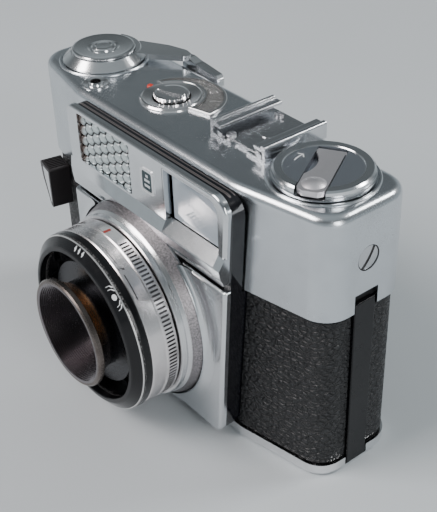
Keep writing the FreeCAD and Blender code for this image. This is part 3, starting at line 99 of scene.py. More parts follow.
# ---- node material helpers ---------------------------------------------------------------------
class Surface:
    """A material made of nodes, with short calls for the nodes this scene needs."""

    def __init__(self, name, colour, roughness, metallic=0.0):
        self.material = bpy.data.materials.new(name)
        self.material.use_nodes = True
        self.tree = self.material.node_tree
        self.shader = self.tree.nodes["Principled BSDF"]
        self.set("Base Color", (*colour, 1))
        self.set("Roughness", roughness)
        self.set("Metallic", metallic)
        self.coords = self.tree.nodes.new("ShaderNodeTexCoord").outputs["Object"]
        self.relief = None

    def set(self, name, value):
        self.shader.inputs[name].default_value = value

    def node(self, kind, inputs=None, **settings):
        made = self.tree.nodes.new(kind)
        for key, value in settings.items():
            setattr(made, key, value)
        for key, value in (inputs or {}).items():
            if isinstance(value, bpy.types.NodeSocket):
                self.tree.links.new(value, made.inputs[key])
            else:
                made.inputs[key].default_value = value
        return made

    def link(self, output, name):
        self.tree.links.new(output, self.shader.inputs[name])

    def stretched(self, scale):
        return self.node("ShaderNodeMapping", {"Vector": self.coords, "Scale": scale}).outputs["Vector"]

    def noise(self, scale, detail=4.0, coords=None):
        settings = {"Vector": coords or self.coords, "Scale": scale, "Detail": detail, "Roughness": 0.55}
        return self.node("ShaderNodeTexNoise", settings).outputs["Fac"]

    def cells(self, scale, coords):
        """Distance to the nearest edge in a pattern of irregular cells."""
        settings = {"Vector": coords, "Scale": scale, "Randomness": 1.0}
        return self.node("ShaderNodeTexVoronoi", settings, feature="DISTANCE_TO_EDGE").outputs["Distance"]

    def ramp(self, value, low, high, out_low, out_high):
        settings = {"Value": value, "From Min": low, "From Max": high, "To Min": out_low, "To Max": out_high}
        return self.node("ShaderNodeMapRange", settings).outputs["Result"]

    def math(self, operation, first, second):
        return self.node("ShaderNodeMath", {0: first, 1: second}, operation=operation).outputs["Value"]

    def mix(self, factor, first, second):
        made = self.node("ShaderNodeMix", data_type="RGBA")
        self.tree.links.new(factor, made.inputs[0])
        for index, value in ((6, first), (7, second)):
            if isinstance(value, bpy.types.NodeSocket):
                self.tree.links.new(value, made.inputs[index])
            else:
                made.inputs[index].default_value = (*value, 1)
        return made.outputs[2]

    def axis(self, letter):
        """One coordinate of the surface point, in metres."""
        return self.node("ShaderNodeSeparateXYZ", {"Vector": self.coords}).outputs[letter]

    def length(self, first, second):
        """Length of a line that runs first one way and second across it."""
        squares = [self.math("MULTIPLY", run, run) for run in (first, second)]
        return self.math("SQRT", self.math("ADD", *squares), 0.0)

    def from_axis_mm(self, x, y):
        """Distance in metres from an upright axis at a place given in millimetres."""
        across = self.math("SUBTRACT", self.axis("X"), x * MM)
        along = self.math("SUBTRACT", self.axis("Y"), y * MM)
        return self.length(across, along)

    def from_lens_axis(self):
        """Distance in metres from the lens axis."""
        height = self.math("SUBTRACT", self.axis("Z"), LENS_Z * MM)
        return self.length(self.axis("X"), height)

    def bump(self, height, distance_mm, strength=1.0):
        """Adds relief on top of the relief that is already there."""
        inputs = {"Height": height, "Distance": distance_mm * MM, "Strength": strength}
        if self.relief is not None:
            inputs["Normal"] = self.relief
        self.relief = self.node("ShaderNodeBump", inputs).outputs["Normal"]
        self.link(self.relief, "Normal")


def metal(name, colour, roughness, grain_mm=0.0015, smudge=0.03):
    """Plated metal: fine grain, slow changes of gloss, and a little tarnish in its colour."""
    look = Surface(name, colour, roughness, 1.0)
    clouds = look.noise(35.0, 4.0)
    fine = look.noise(2600.0, 2.0)
    slow_change = look.ramp(clouds, 0.3, 0.7, -0.03, 0.03)
    fast_change = look.ramp(fine, 0.3, 0.7, -0.02, 0.02)
    look.gloss = look.math("ADD", look.math("ADD", slow_change, fast_change), roughness)
    look.link(look.gloss, "Roughness")
    tarnish = look.ramp(look.noise(140.0, 6.0), 0.45, 0.75, 0.0, 1.0)
    dull = tuple(part * (1 - smudge * 3) for part in colour)
    look.colour = look.mix(tarnish, colour, dull)
    look.link(look.colour, "Base Color")
    look.bump(fine, grain_mm)
    return look


def plain(name, colour, roughness, vary=0.25, coat=0.0):
    """Painted or moulded surface with slight mottling and dust."""
    look = Surface(name, colour, roughness)
    cloud = look.ramp(look.noise(90.0, 6.0), 0.3, 0.7, 0.0, 1.0)
    look.colour = look.mix(cloud, colour, tuple(part * (1 + vary) + 0.002 for part in colour))
    look.link(look.colour, "Base Color")
    look.gloss = look.ramp(look.noise(400.0, 4.0), 0.3, 0.7, roughness - 0.06, roughness + 0.1)
    look.link(look.gloss, "Roughness")
    look.bump(look.noise(1800.0, 2.0), 0.004)
    look.set("Coat Weight", coat)
    return look


def band_ramp(look, value, band_mm, out_low, out_high):
    """Goes from out_low to out_high across a band given in millimetres."""
    return look.ramp(value, band_mm[0] * MM, band_mm[1] * MM, out_low, out_high)


def step_between(look, value, low_mm, high_mm, soft_mm=0.15):
    """1 between two distances and 0 outside them, with soft ends."""
    rise = band_ramp(look, value, (low_mm - soft_mm, low_mm + soft_mm), 0.0, 1.0)
    fall = band_ramp(look, value, (high_mm - soft_mm, high_mm + soft_mm), 1.0, 0.0)
    return look.math("MULTIPLY", rise, fall)


def knob_metal():
    """Knob top: a matt blasted disc inside a polished ring."""
    look = metal("knob_chrome", (0.74, 0.76, 0.78), 0.16)
    disc = band_ramp(look, look.from_axis_mm(*KNOB), KNOB_DISC_EDGE_R, 1.0, 0.0)
    blasted = look.ramp(look.noise(5200.0, 2.0), 0.3, 0.7, 0.36, 0.46)
    look.link(look.node("ShaderNodeMix", {0: disc, 2: look.gloss, 3: blasted}).outputs[0], "Roughness")
    look.link(look.mix(disc, look.colour, (0.36, 0.39, 0.43)), "Base Color")
    return look


def cone_metal():
    """Turned cone: a sparkling blasted slope and a polished front lip."""
    look = metal("cone_chrome", (0.8, 0.8, 0.81), 0.22)
    slope = step_between(look, look.axis("Y"), *CONE_SLOPE_Y)
    sparkle = look.noise(3000.0, 2.0)
    rough = look.ramp(sparkle, 0.3, 0.7, 0.3, 0.42)
    look.link(look.node("ShaderNodeMix", {0: slope, 2: look.gloss, 3: rough}).outputs[0], "Roughness")
    grey = look.mix(look.ramp(sparkle, 0.35, 0.65, 0.0, 1.0), (0.18, 0.17, 0.18), (0.44, 0.41, 0.42))
    look.link(look.mix(slope, look.colour, grey), "Base Color")
    look.bump(look.math("MULTIPLY", sparkle, slope), 0.02)
    return look


def ring_metal():
    """Turned ring with painted shade in the floors of its finger grooves."""
    look = metal("ring_chrome", (0.83, 0.79, 0.79), 0.24)
    band = step_between(look, look.axis("Y"), *KNURL_Y, 0.05)
    deep = band_ramp(look, look.from_lens_axis(), KNURL_R, 1.0, 0.0)
    # Painted shade: the groove floors in the knurled band are coloured dark.
    look.link(look.mix(look.math("MULTIPLY", band, deep), look.colour, (0.17, 0.16, 0.165)), "Base Color")
    return look


def tube_metal():
    """Focus tube: dark bronze rim, ribbed black inside, and brassy patches on the waist that are partly wear
    and partly a painted highlight on its upper side.
    """
    look = metal("bronze_tube", (0.2, 0.17, 0.155), 0.26, smudge=0.12)
    depth = look.axis("Y")
    waist = step_between(look, depth, *TUBE_WAIST_Y, 0.4)
    # Painted highlight: the brassy patches show only on the upper side of the waist, where the light falls;
    # their patchy spread stands for wear.
    upper = band_ramp(look, look.axis("Z"), WAIST_LIT_Z, 0.0, 1.0)
    patches = look.ramp(look.noise(75.0, 3.0), 0.36, 0.56, 0.2, 1.0)
    bright_mask = look.math("MULTIPLY", waist, look.math("MULTIPLY", upper, patches))
    wall = look.math("ADD", look.from_lens_axis(), look.math("MULTIPLY", depth, BORE_TAPER))
    inside = band_ramp(look, wall, BORE_WALL, 1.0, 0.0)
    behind = band_ramp(look, depth, TUBE_BACK_Y, 0.0, 1.0)
    colour = look.mix(bright_mask, look.colour, (0.95, 0.55, 0.28))
    colour = look.mix(behind, colour, (0.05, 0.05, 0.055))
    look.link(look.mix(inside, colour, (0.24, 0.22, 0.23)), "Base Color")
    return look


def ring_paint():
    """Black focusing ring whose front edge is worn to a thin bright line with a grainy border."""
    look = plain("black_ring", (0.005, 0.005, 0.006), 0.16)
    look.set("Specular IOR Level", 0.32)
    depth = look.axis("Y")
    line = step_between(look, depth, *RING_LINE_Y, 0.04)
    border = step_between(look, depth, *RING_BORDER_Y, 0.15)
    speckle = look.ramp(look.noise(3200.0, 3.0), 0.5, 0.66, 0.0, 0.35)
    bright_mask = look.math("MAXIMUM", line, look.math("MULTIPLY", border, speckle))
    look.link(look.mix(bright_mask, look.colour, (0.78, 0.77, 0.76)), "Base Color")
    look.link(look.math("MULTIPLY", bright_mask, 0.9), "Metallic")
    return look


def core_enamel():
    """Polished black spacer frame with two lighter, metallic lines along the strip that shows on top."""
    look = plain("core_enamel", (0.004, 0.004, 0.006), 0.1, coat=0.4)
    on_top = band_ramp(look, look.axis("Z"), CORE_TOP_Z, 0.0, 1.0)
    depth = look.axis("Y")
    wide_line = step_between(look, depth, *CORE_WIDE_LINE_Y, 0.1)
    thin_line = step_between(look, depth, *CORE_THIN_LINE_Y, 0.05)
    lines = look.math("MULTIPLY", on_top, look.math("MAXIMUM", wide_line, thin_line))
    look.link(look.mix(lines, look.colour, (0.42, 0.37, 0.36)), "Base Color")
    look.link(look.math("MULTIPLY", lines, 0.95), "Metallic")
    return look


def leatherette():
    """Black leather cloth: wrinkles that run lengthways, with worn, shinier tops and a few bright flecks."""
    look = Surface("leatherette", (0.012, 0.012, 0.013), 0.45)
    flat = look.stretched((0.75, 0.75, 1.0))
    warp = look.node("ShaderNodeTexNoise", {"Vector": flat, "Scale": 420.0, "Detail": 4.0}).outputs["Color"]
    bent = look.node("ShaderNodeMix", {0: 0.001}, data_type="RGBA", blend_type="ADD")
    look.tree.links.new(flat, bent.inputs[6])
    look.tree.links.new(warp, bent.inputs[7])
    bent = bent.outputs[2]
    pebble = look.ramp(look.cells(720.0, bent), 0.0, 0.24, 0.0, 1.0)
    small = look.ramp(look.cells(1500.0, bent), 0.0, 0.4, 0.0, 1.0)
    soft = look.noise(560.0, 3.0, bent)
    relief = look.math("ADD", pebble, look.math("MULTIPLY", small, 0.25))
    relief = look.math("ADD", relief, look.math("MULTIPLY", soft, 0.8))
    look.bump(relief, 0.5)
    look.link(look.ramp(relief, 0.5, 1.8, 0.55, 0.3), "Roughness")
    top = look.ramp(relief, 0.9, 1.9, 0.0, 1.0)
    look.link(look.mix(top, (0.004, 0.004, 0.005), (0.014, 0.014, 0.016)), "Base Color")
    return look


def glass(name, tint, roughness=0.05, through=0.9, index=1.5):
    """Clear glass or plastic with a faint haze."""
    look = Surface(name, tint, roughness)
    look.set("Transmission Weight", through)
    look.set("IOR", index)
    look.link(look.ramp(look.noise(500.0, 4.0), 0.4, 0.8, roughness, roughness + 0.05), "Roughness")
    haze = look.ramp(look.noise(120.0, 4.0), 0.4, 0.7, 0.0, 1.0)
    look.link(look.mix(haze, tint, tuple(part * 0.92 for part in tint)), "Base Color")
    return look


def lens_array():
    """Half-mirrored plastic domes with painted shade at their feet; one end takes the brown of the cell
    behind it.
    """
    look = plain("honeycomb_plastic", (0.5, 0.57, 0.58), 0.32, vary=0.08, coat=0.15)
    clear_end = band_ramp(look, look.axis("X"), WINDOW_CLEAR_X, 1.0, 0.0)
    # Painted shade: each dome is coloured dark towards its foot, where the domes meet.
    foot = band_ramp(look, look.axis("Y"), DOME_FOOT_Y, 0.0, 1.0)
    shaded = look.mix(foot, look.colour, (0.06, 0.06, 0.064))
    look.link(look.mix(clear_end, shaded, (0.07, 0.045, 0.035)), "Base Color")
    look.link(look.ramp(clear_end, 0.0, 1.0, 0.45, 0.1), "Metallic")
    return look


def paint(name, surface):
    """Gives every material slot of a CAD node one finish."""
    for material_slot in nodes[name].material_slots:
        material_slot.material = surface.material


satin = metal("satin_chrome", (0.66, 0.69, 0.72), 0.24)
panel = metal("panel_chrome", (0.78, 0.8, 0.82), 0.16)
ring = ring_metal()
bright = metal("bright_chrome", (0.86, 0.86, 0.87), 0.1, grain_mm=0.001)
bezel = metal("counter_chrome", (0.8, 0.79, 0.79), 0.17)
lever = metal("lever_chrome", (0.78, 0.79, 0.8), 0.16)
shoe = metal("shoe_chrome", (0.7, 0.71, 0.73), 0.16)
badge_rim = metal("badge_chrome", (0.95, 0.95, 0.96), 0.38)
screw = metal("screw_chrome", (0.6, 0.61, 0.63), 0.2)
crank = metal("crank_chrome", (0.84, 0.81, 0.83), 0.42, grain_mm=0.006)
knob = knob_metal()
cone = cone_metal()
tube = tube_metal()
steel = metal("steel", (0.6, 0.6, 0.62), 0.32)
spring = metal("spring_steel", (0.62, 0.63, 0.65), 0.2)
brass = metal("gear_brass", (0.72, 0.52, 0.24), 0.3)
black_gloss = plain("black_enamel", (0.004, 0.004, 0.005), 0.2)
black_gloss.set("Specular IOR Level", 0.3)
core_black = core_enamel()
black_matt = plain("black_matt", (0.012, 0.012, 0.013), 0.55)
blade_black = plain("blade_black", (0.03, 0.03, 0.032), 0.42)
key_black = plain("key_plastic", (0.016, 0.013, 0.014), 0.42)
dial_black = plain("dial_black", (0.02, 0.014, 0.012), 0.4)
white_fill = plain("white_fill", (0.75, 0.77, 0.78), 0.5, vary=0.05)
dark_fill = plain("dark_fill", (0.02, 0.018, 0.018), 0.5)
red_fill = plain("red_fill", (0.5, 0.035, 0.02), 0.35)
index_red = plain("index_red", (0.28, 0.03, 0.02), 0.4)
orange_fill = plain("orange_fill", (0.55, 0.1, 0.05), 0.4)
black_ring = ring_paint()
leather = leatherette()
lens_glass = glass("lens_glass", (0.14, 0.11, 0.24), through=1.0, index=1.6)
finder_glass = glass("finder_glass", (0.75, 0.84, 0.92), 0.04, 0.55, 1.9)
clear = glass("clear_plastic", (0.93, 0.93, 0.92), 0.1)
domes = lens_array()
cell_brown = plain("cell_brown", (0.05, 0.034, 0.028), 0.35)
teal = plain("badge_enamel", (0.004, 0.02, 0.026), 0.25)

FINISH = {
    satin: ["top_cover"],
    panel: ["upper_panel", "lower_panel", "finder_bezel"],
    ring: ["aperture_ring"],
    cone: ["lens_cone"],
    bezel: ["counter_bezel"],
    bright: ["bottom_cover", "eyepiece_frame", "counter_knob", "cable_socket", "key_inlay"],
    screw: ["cover_screws"],
    badge_rim: ["badge_frame"],
    knob: ["rewind_knob"],
    crank: ["rewind_crank"],
    lever: ["advance_lever", "advance_cap"],
    shoe: ["accessory_shoe"],
    spring: ["shoe_spring", "pressure_spring"],
    steel: [
        "tripod_bush", "shoe_screws", "film_gate", "hinge_pin", "rewind_shaft", "advance_shaft",
        "sprocket_drum", "rewind_button",
    ],
    core_black: ["front_core"],
    black_gloss: ["shutter_plate", "pressure_plate", "latch_bar"],
    black_matt: [
        "body_casting", "cassette_housing", "light_box", "finder_tube", "galvanometer", "shutter_housing",
        "takeup_spool", "back_door",
    ],
    blade_black: ["shutter_blade_right", "shutter_blade_left"],
    key_black: ["release_key"],
    dial_black: ["counter_dial"],
    orange_fill: ["meter_needle"],
    black_ring: ["focus_ring"],
    tube: ["focus_tube"],
    brass: ["idler_gear"],
    leather: ["leather_left", "leather_right", "leather_door"],
    lens_glass: ["front_lens", "rear_lens"],
    finder_glass: ["finder_front_lens", "finder_eye_lens"],
    clear: ["counter_window"],
    cell_brown: ["selenium_cell"],
    teal: ["badge_insert"],
}
for surface, names in FINISH.items():
    for name in names:
        paint(name, surface)


# ---- detail pieces -----------------------------------------------------------------------------
def add_piece(name, build, surface, body, smooth=False):
    """Make one mesh piece; build fills a bmesh in millimetres."""
    shape = bmesh.new()
    build(shape)
    bmesh.ops.remove_doubles(shape, verts=shape.verts, dist=0.0005)
    bmesh.ops.recalc_face_normals(shape, faces=shape.faces)
    bmesh.ops.scale(shape, vec=(MM, MM, MM), verts=shape.verts)
    mesh = bpy.data.meshes.new(name)
    shape.to_mesh(mesh)
    shape.free()
    mesh.polygons.foreach_set("use_smooth", [smooth] * len(mesh.polygons))
    mesh.materials.append(surface.material)
    piece = bpy.data.objects.new(name, mesh)
    bpy.context.collection.objects.link(piece)
    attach(piece, body)
    return piece


def slab(shape, near, far):
    """Closed solid between two matching loops of points."""
    lower = [shape.verts.new(p) for p in near]
    upper = [shape.verts.new(p) for p in far]
    count = len(near)
    shape.faces.new(lower)
    shape.faces.new(upper)
    for i in range(count):
        j = (i + 1) % count
        shape.faces.new((lower[i], lower[j], upper[j], upper[i]))


def stroke_2d(points, width):
    """Outline of a thin line through 2-D points."""
    left, right = [], []
    for i, point in enumerate(points):
        before = points[max(i - 1, 0)]
        after = points[min(i + 1, len(points) - 1)]
        dx, dy = after[0] - before[0], after[1] - before[1]
        length = math.hypot(dx, dy)
        nx, ny = -dy / length * width / 2, dx / length * width / 2
        left.append((point[0] + nx, point[1] + ny))
        right.append((point[0] - nx, point[1] - ny))
    return left, right


def flat_stroke(shape, points, width, place, low=STROKE_SUNK, high=STROKE_RAISED):
    """A raised line; place turns a 2-D point and a height into a 3-D point."""
    left, right = stroke_2d(points, width)
    for i in range(len(points) - 1):
        quad = [left[i], left[i + 1], right[i + 1], right[i]]
        slab(shape, [place(p, low) for p in quad], [place(p, high) for p in quad])


def lens_place(radius, depth, slope_radius=0.0, slope_depth=0.0):
    """Mapping onto the lens barrel: 2-D points are (degrees round the axis, mm along the surface)."""
    slope = math.hypot(slope_radius, slope_depth) or 1.0
    run = (slope_radius / slope, slope_depth / slope) if slope_radius or slope_depth else (0.0, 1.0)
    outward = (-run[1], run[0]) if run[1] < 0 else (run[1], -run[0])

    def place(point, lift):
        angle = math.radians(point[0])
        r = radius + run[0] * point[1] + outward[0] * lift
        y = depth + run[1] * point[1] + outward[1] * lift
        return (r * math.cos(angle), y, LENS_Z + r * math.sin(angle))

    return place


def arc_points(start, stop, offset, count=24):
    """Points from one angle to another at the same offset."""
    return [(start + (stop - start) * i / count, offset) for i in range(count + 1)]


def honeycomb(shape):
    """Rows of six-sided domes, every second column half a cell lower, trimmed to the window."""
    pitch_x, pitch_z, rise, base_y, thickness = 3.3, 3.05, 0.8, -20.2, 0.25
    columns, rows = 9, 7
    half_tall, half_wide = pitch_z / 2 - 0.05, pitch_x * 2 / 3 - 0.07
    corners = [
        (half_wide, 0), (half_wide / 2, half_tall), (-half_wide / 2, half_tall), (-half_wide, 0),
        (-half_wide / 2, -half_tall), (half_wide / 2, -half_tall),
    ]
    edge = []
    for i in range(6):
        x0, z0 = corners[i]
        x1, z1 = corners[(i + 1) % 6]
        edge += [(x0 + (x1 - x0) * k / 3, z0 + (z1 - z0) * k / 3) for k in range(3)]
    left, low = WINDOW_LOW.x, WINDOW_LOW.z
    right, top = WINDOW_HIGH.x, WINDOW_HIGH.z
    for column in range(columns):
        for row in range(rows):
            cx = left + 0.6 + column * pitch_x
            cz = low - 0.4 + row * pitch_z - (column % 2) * pitch_z / 2
            if cx - half_wide > right or cz - half_tall > top or cz + half_tall < low:
                continue
            rings = []
            for share in (1.0, 0.93, 0.82, 0.66, 0.46, 0.22):
                y = base_y - rise * (1 - share ** 2.6)
                rings.append([shape.verts.new((cx + x * share, y, cz + z * share)) for x, z in edge])
            count = len(edge)
            for outer, inner in zip(rings, rings[1:]):
                for i in range(count):
                    j = (i + 1) % count
                    shape.faces.new((outer[i], outer[j], inner[j], inner[i]))
            shape.faces.new(rings[-1])
    trims = (
        ((left, 0, 0), (-1, 0, 0)), ((right, 0, 0), (1, 0, 0)),
        ((0, 0, low), (0, 0, -1)), ((0, 0, top), (0, 0, 1)),
    )
    for point, normal in trims:
        everything = shape.verts[:] + shape.edges[:] + shape.faces[:]
        bmesh.ops.bisect_plane(shape, geom=everything, plane_co=point, plane_no=normal, clear_outer=True)
    backs = bmesh.ops.extrude_face_region(shape, geom=shape.faces[:])["geom"]
    moved = [v for v in backs if isinstance(v, bmesh.types.BMVert)]
    for vert in moved:
        vert.co.y = base_y + thickness


def honeycomb_base(shape):
    """Flat sheet behind the domes."""
    front_y, back_y = -19.95, -19.65
    left, low = WINDOW_LOW.x, WINDOW_LOW.z
    right, top = WINDOW_HIGH.x, WINDOW_HIGH.z
    loop = [(left, low), (right, low), (right, top), (left, top)]
    slab(shape, [(x, front_y, z) for x, z in loop], [(x, back_y, z) for x, z in loop])


def ring_lines(shape):
    """Two scale lines on the front band of the aperture ring, with a zigzag mark between them."""
    place = lens_place(25.25, -35.1)
    flat_stroke(shape, arc_points(81.0, 65.4, 0.0), 0.16, place)
    flat_stroke(shape, arc_points(57.3, 41.0, 0.0), 0.26, place)
    zigzag = [(62.6, -0.75), (60.9, -0.25), (62.4, 0.05), (60.6, 0.7)]
    flat_stroke(shape, zigzag, 0.3, place)
    flat_stroke(shape, [(61.6, 0.85), (60.2, 0.9), (60.5, 0.35)], 0.22, place)


def index_bar(shape):
    """Short red bar filled into the aperture ring."""
    place = lens_place(25.35, -30.4)
    loop = [(89.7, -1.1), (91.7, -1.1), (91.7, 1.0), (89.7, 1.0)]
    slab(shape, [place(p, STROKE_SUNK) for p in loop], [place(p, 0.04) for p in loop])


def zone_marks(shape):
    """White strokes on the black ring's bevel: three upright bars, then a dot between curved strokes."""
    place = lens_place(24.0, -39.9, -2.2, -1.7)
    for angle in (91.5, 87.6, 83.7):
        flat_stroke(shape, [(angle, -0.75), (angle - 0.3, 0.75)], 0.9, place)
        flat_stroke(shape, [(angle + 0.9, 0.0), (angle - 0.9, 0.05)], 0.35, place)
    turns = [math.pi * i / 6 for i in range(12)]
    ring = [(48.5 + 2.0 * math.cos(turn), 0.7 * math.sin(turn)) for turn in turns]
    slab(shape, [place(p, STROKE_SUNK) for p in ring], [place(p, STROKE_RAISED) for p in ring])
    for offset in (0.0, 2.3):
        near = [(56.5 - offset, 0.7), (56.0 - offset, -0.3), (54.0 - offset, -1.0)]
        far = [(40.2 + offset, 0.5), (41.0 + offset, -0.4), (43.2 + offset, -1.0)]
        flat_stroke(shape, near, 0.32, place)
        flat_stroke(shape, far, 0.32, place)


# Seven-bar numbers: the bars of each digit, and where each bar starts and ends.
DIGITS = {"0": "abcdef", "1": "bc", "2": "abged", "3": "abgcd", "5": "afgcd"}
BARS = {
    "a": ((-1, 2), (1, 2)), "b": ((1, 2), (1, 0)), "c": ((1, 0), (1, -2)), "d": ((-1, -2), (1, -2)),
    "e": ((-1, -2), (-1, 0)), "f": ((-1, 0), (-1, 2)), "g": ((-1, 0), (1, 0)),
}


def dial_marks(shape):
    """Ticks for every frame and a number for every fifth one, on the counter dial."""
    z = TOP_Z - 1.5
    frames = 40

    def place(point, lift):
        return (COUNTER.x + point[0], COUNTER.y + point[1], z + lift)

    for i in range(frames):
        angle = 2 * math.pi * i / frames
        long_tick = i % 5 == 0
        inner, outer = (12.0 if long_tick else 12.4), 13.0
        ends = [(r * math.cos(angle), r * math.sin(angle)) for r in (inner, outer)]
        flat_stroke(shape, ends, 0.16, place, DIAL_SUNK, DIAL_RAISED)
        if long_tick:
            write_number(shape, str(i), angle, 10.9, place)


def write_number(shape, text, angle, radius, place):
    """A number made of short bars, upright when seen from outside the dial."""
    half_bar, spacing = 0.306, 1.088
    for index, letter in enumerate(text):
        shift = (index - (len(text) - 1) / 2) * spacing
        for bar in DIGITS[letter]:
            ends = []
            for u, v in BARS[bar]:
                across = u * half_bar + shift
                along = radius + v * half_bar
                x = along * math.cos(angle) + across * math.sin(angle)
                y = along * math.sin(angle) - across * math.cos(angle)
                ends.append((x, y))
            flat_stroke(shape, ends, 0.13, place, DIAL_SUNK, DIAL_RAISED)


def red_index(shape):
    """Small raised drop beside the counter bezel."""
    centre_x, centre_y, points = COUNTER.x - 9.2, COUNTER.y - 0.4, 20
    rings = []
    for radius, rise in ((0.95, 0.0), (0.95, 0.35), (0.75, 0.62), (0.4, 0.78)):
        loop = []
        for i in range(points):
            angle = 2 * math.pi * i / points
            stretch = 1.5 if math.cos(angle) > 0 else 1.0
            x = centre_x + radius * stretch * math.cos(angle)
            y = centre_y + radius * math.sin(angle)
            loop.append(shape.verts.new((x, y, TOP_Z + rise)))
        rings.append(loop)
    for lower, upper in zip(rings, rings[1:]):
        for i in range(points):
            j = (i + 1) % points
            shape.faces.new((lower[i], lower[j], upper[j], upper[i]))
    shape.faces.new(rings[0])
    shape.faces.new(rings[-1])


def knob_mark(shape):
    """Plain curved arrow on the knob's disc."""
    z = TOP_Z + 2.75
    radius, width = 7.2, 0.28

    def place(point, lift):
        return (point[0], point[1], z + lift)

    def along(start, stop, count=10):
        points = []
        for i in range(count + 1):
            a = math.radians(start + (stop - start) * i / count)
            points.append((KNOB.x + radius * math.cos(a), KNOB.y + radius * math.sin(a)))
        return points

    flat_stroke(shape, along(178, 206), width, place, DIAL_SUNK, DIAL_RAISED)
    tip = along(178, 179, 1)[0]
    for dx, dy in ((-1.1, -0.7), (1.1, -0.9)):
        flat_stroke(shape, [tip, (tip[0] + dx, tip[1] + dy)], width, place, DIAL_SUNK, DIAL_RAISED)


def badge_marks(shape):
    """Two wide bars and a short one in the badge."""
    tall, depth = 0.7, 0.05
    for half_wide, rise in ((1.1, -1.7), (1.1, -0.2), (0.5, 1.1)):
        left, right = BADGE.x - half_wide, BADGE.x + half_wide
        low, high = BADGE.z + rise, BADGE.z + rise + tall
        loop = [(left, low), (right, low), (right, high), (left, high)]
        near = [(x, BADGE_FACE_Y - depth, z) for x, z in loop]
        far = [(x, BADGE_FACE_Y + depth, z) for x, z in loop]
        slab(shape, near, far)


def packing(shape, outline, side, deep, shallow):
    """Slab on an end face of the camera, between two depths under the face; used for painted shade."""
    far_x, near_x = side * (END_FACE_X - deep), side * (END_FACE_X - shallow)
    far = [(far_x, END_SCREW_Y + y, END_SCREW_Z + z) for y, z in outline]
    near = [(near_x, END_SCREW_Y + y, END_SCREW_Z + z) for y, z in outline]
    slab(shape, far, near)


def screw_grime(shape):
    """Dark slabs of painted shade in the slots of the two end screws and in the narrow gap round their
    heads.
    """
    slot_turn, slot_width = math.radians(35), 0.86
    for side in (-1, 1):
        run = (math.sin(slot_turn), side * math.cos(slot_turn))
        ends = [(run[0] * reach, run[1] * reach) for reach in (-2.85, 2.85)]
        left, right = stroke_2d(ends, slot_width)
        packing(shape, [left[0], left[1], right[1], right[0]], side, 0.74, 0.2)
        inner, outer = END_SCREW_R + 0.02, END_SCREW_R + 0.27
        for start in range(0, 360, 10):
            stop = start + 10
            corners = ((inner, start), (outer, start), (outer, stop), (inner, stop))
            quad = [(r * math.cos(math.radians(a)), r * math.sin(math.radians(a))) for r, a in corners]
            packing(shape, quad, side, 0.75, 0.23)


domed = add_piece("honeycomb_domes", honeycomb, domes, "camera", True)
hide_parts("selenium_window")
add_piece("honeycomb_base", honeycomb_base, cell_brown, "camera")
add_piece("ring_lines", ring_lines, dark_fill, "aperture")
add_piece("index_bar", index_bar, index_red, "aperture")
add_piece("zone_marks", zone_marks, white_fill, "focus")
add_piece("dial_marks", dial_marks, white_fill, "frame_dial")
add_piece("red_index", red_index, red_fill, "camera", True)
add_piece("knob_mark", knob_mark, white_fill, "rewind")
add_piece("badge_marks", badge_marks, badge_rim, "camera")
# Painted shade: dark slabs in the end screws' slots and in the gaps round their heads.
add_piece("screw_grime", screw_grime, dark_fill, "camera")


# ---- floor, light and view ---------------------------------------------------------------------
def make_floor():
    """Plain pale floor, a hair below the base of the camera."""
    mesh = bpy.data.meshes.new("floor")
    size, level = 3.0, -0.02 * MM
    corners = [(-size, -size, level), (size, -size, level), (size, size, level), (-size, size, level)]
    mesh.from_pydata(corners, [], [(0, 1, 2, 3)])
    floor = bpy.data.objects.new("floor", mesh)
    bpy.context.collection.objects.link(floor)
    look = Surface("floor_paper", (0.55, 0.58, 0.6), 0.8)
    clouds = look.ramp(look.noise(4.0, 3.0), 0.3, 0.7, 0.0, 1.0)
    look.link(look.mix(clouds, (0.52, 0.56, 0.58), (0.57, 0.6, 0.62)), "Base Color")
    mesh.materials.append(look.material)


def add_light(name, place, target, size, power, colour=(1, 1, 1)):
    """Soft rectangular lamp that faces its target; places are in metres."""
    light = bpy.data.lights.new(name, "AREA")
    light.shape = "RECTANGLE"
    light.size, light.size_y = size
    light.energy = power
    light.color = colour
    lamp = bpy.data.objects.new(name, light)
    lamp.location = place
    lamp.rotation_euler = (Vector(target) - Vector(place)).to_track_quat("-Z", "Y").to_euler()
    bpy.context.collection.objects.link(lamp)


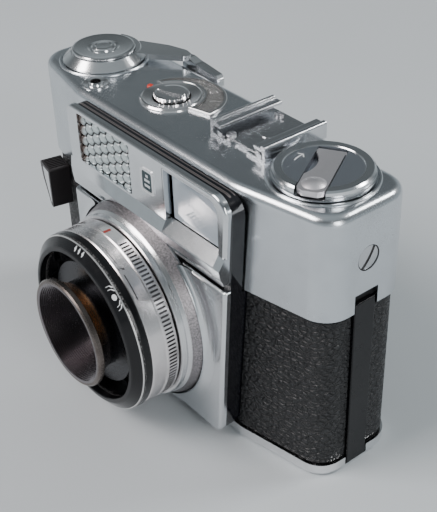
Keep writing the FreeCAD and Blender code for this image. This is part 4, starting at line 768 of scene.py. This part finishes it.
def make_view(azimuth, elevation, roll, focal_mm, target_mm, distance_mm):
    """Camera looking at target from a direction given by azimuth and elevation, rolled about its axis."""
    az, el, turn = (math.radians(v) for v in (azimuth, elevation, roll))
    back = Vector((math.sin(az) * math.cos(el), -math.cos(az) * math.cos(el), math.sin(el)))
    right = Vector((math.cos(az), math.sin(az), 0))
    up = back.cross(right)
    rolled_right = right * math.cos(turn) + up * math.sin(turn)
    rolled_up = up * math.cos(turn) - right * math.sin(turn)
    data = bpy.data.cameras.new("view")
    data.lens = focal_mm
    data.sensor_width = 36.0
    data.clip_start = 0.01
    view = bpy.data.objects.new("view", data)
    place = (Vector(target_mm) + back * distance_mm) * MM
    axes = Matrix((rolled_right, rolled_up, back)).transposed().to_4x4()
    view.matrix_world = Matrix.Translation(place) @ axes
    bpy.context.collection.objects.link(view)
    bpy.context.scene.camera = view


def make_room():
    """Soft room light: pale at the horizon, dark higher up and pale again overhead."""
    world = bpy.data.worlds.new("room")
    world.use_nodes = True
    tree = world.node_tree
    direction = tree.nodes.new("ShaderNodeTexCoord").outputs["Generated"]
    split = tree.nodes.new("ShaderNodeSeparateXYZ")
    tree.links.new(direction, split.inputs[0])
    ramp = tree.nodes.new("ShaderNodeValToRGB")
    tree.links.new(split.outputs["Z"], ramp.inputs[0])
    stops = ((0.0, 0.62), (0.18, 0.5), (0.42, 0.2), (0.62, 0.13), (0.85, 0.4), (1.0, 0.5))
    elements = ramp.color_ramp.elements
    while len(elements) < len(stops):
        elements.new(0.5)
    for element, (position, value) in zip(elements, stops):
        element.position = position
        element.color = (value * 0.9, value, value * 1.05, 1)
    tree.links.new(ramp.outputs["Color"], tree.nodes["Background"].inputs["Color"])
    tree.nodes["Background"].inputs["Strength"].default_value = 0.8
    bpy.context.scene.world = world


make_floor()
make_room()
add_light("key", (-0.35, -0.75, 0.85), (0, 0, 0.04), (0.7, 0.5), 14.0, (1.0, 0.95, 0.94))
add_light("side", (0.85, -0.15, 0.35), (0, 0, 0.05), (0.25, 0.5), 3.0)
add_light("rim", (0.35, 0.75, 0.8), (0, 0, 0.06), (0.3, 0.2), 5.0)
make_view(
    azimuth=52.472,
    elevation=34.763,
    roll=-2.02,
    focal_mm=73.93,
    target_mm=(3.225, 2.413, 35.181),
    distance_mm=294.517,
)
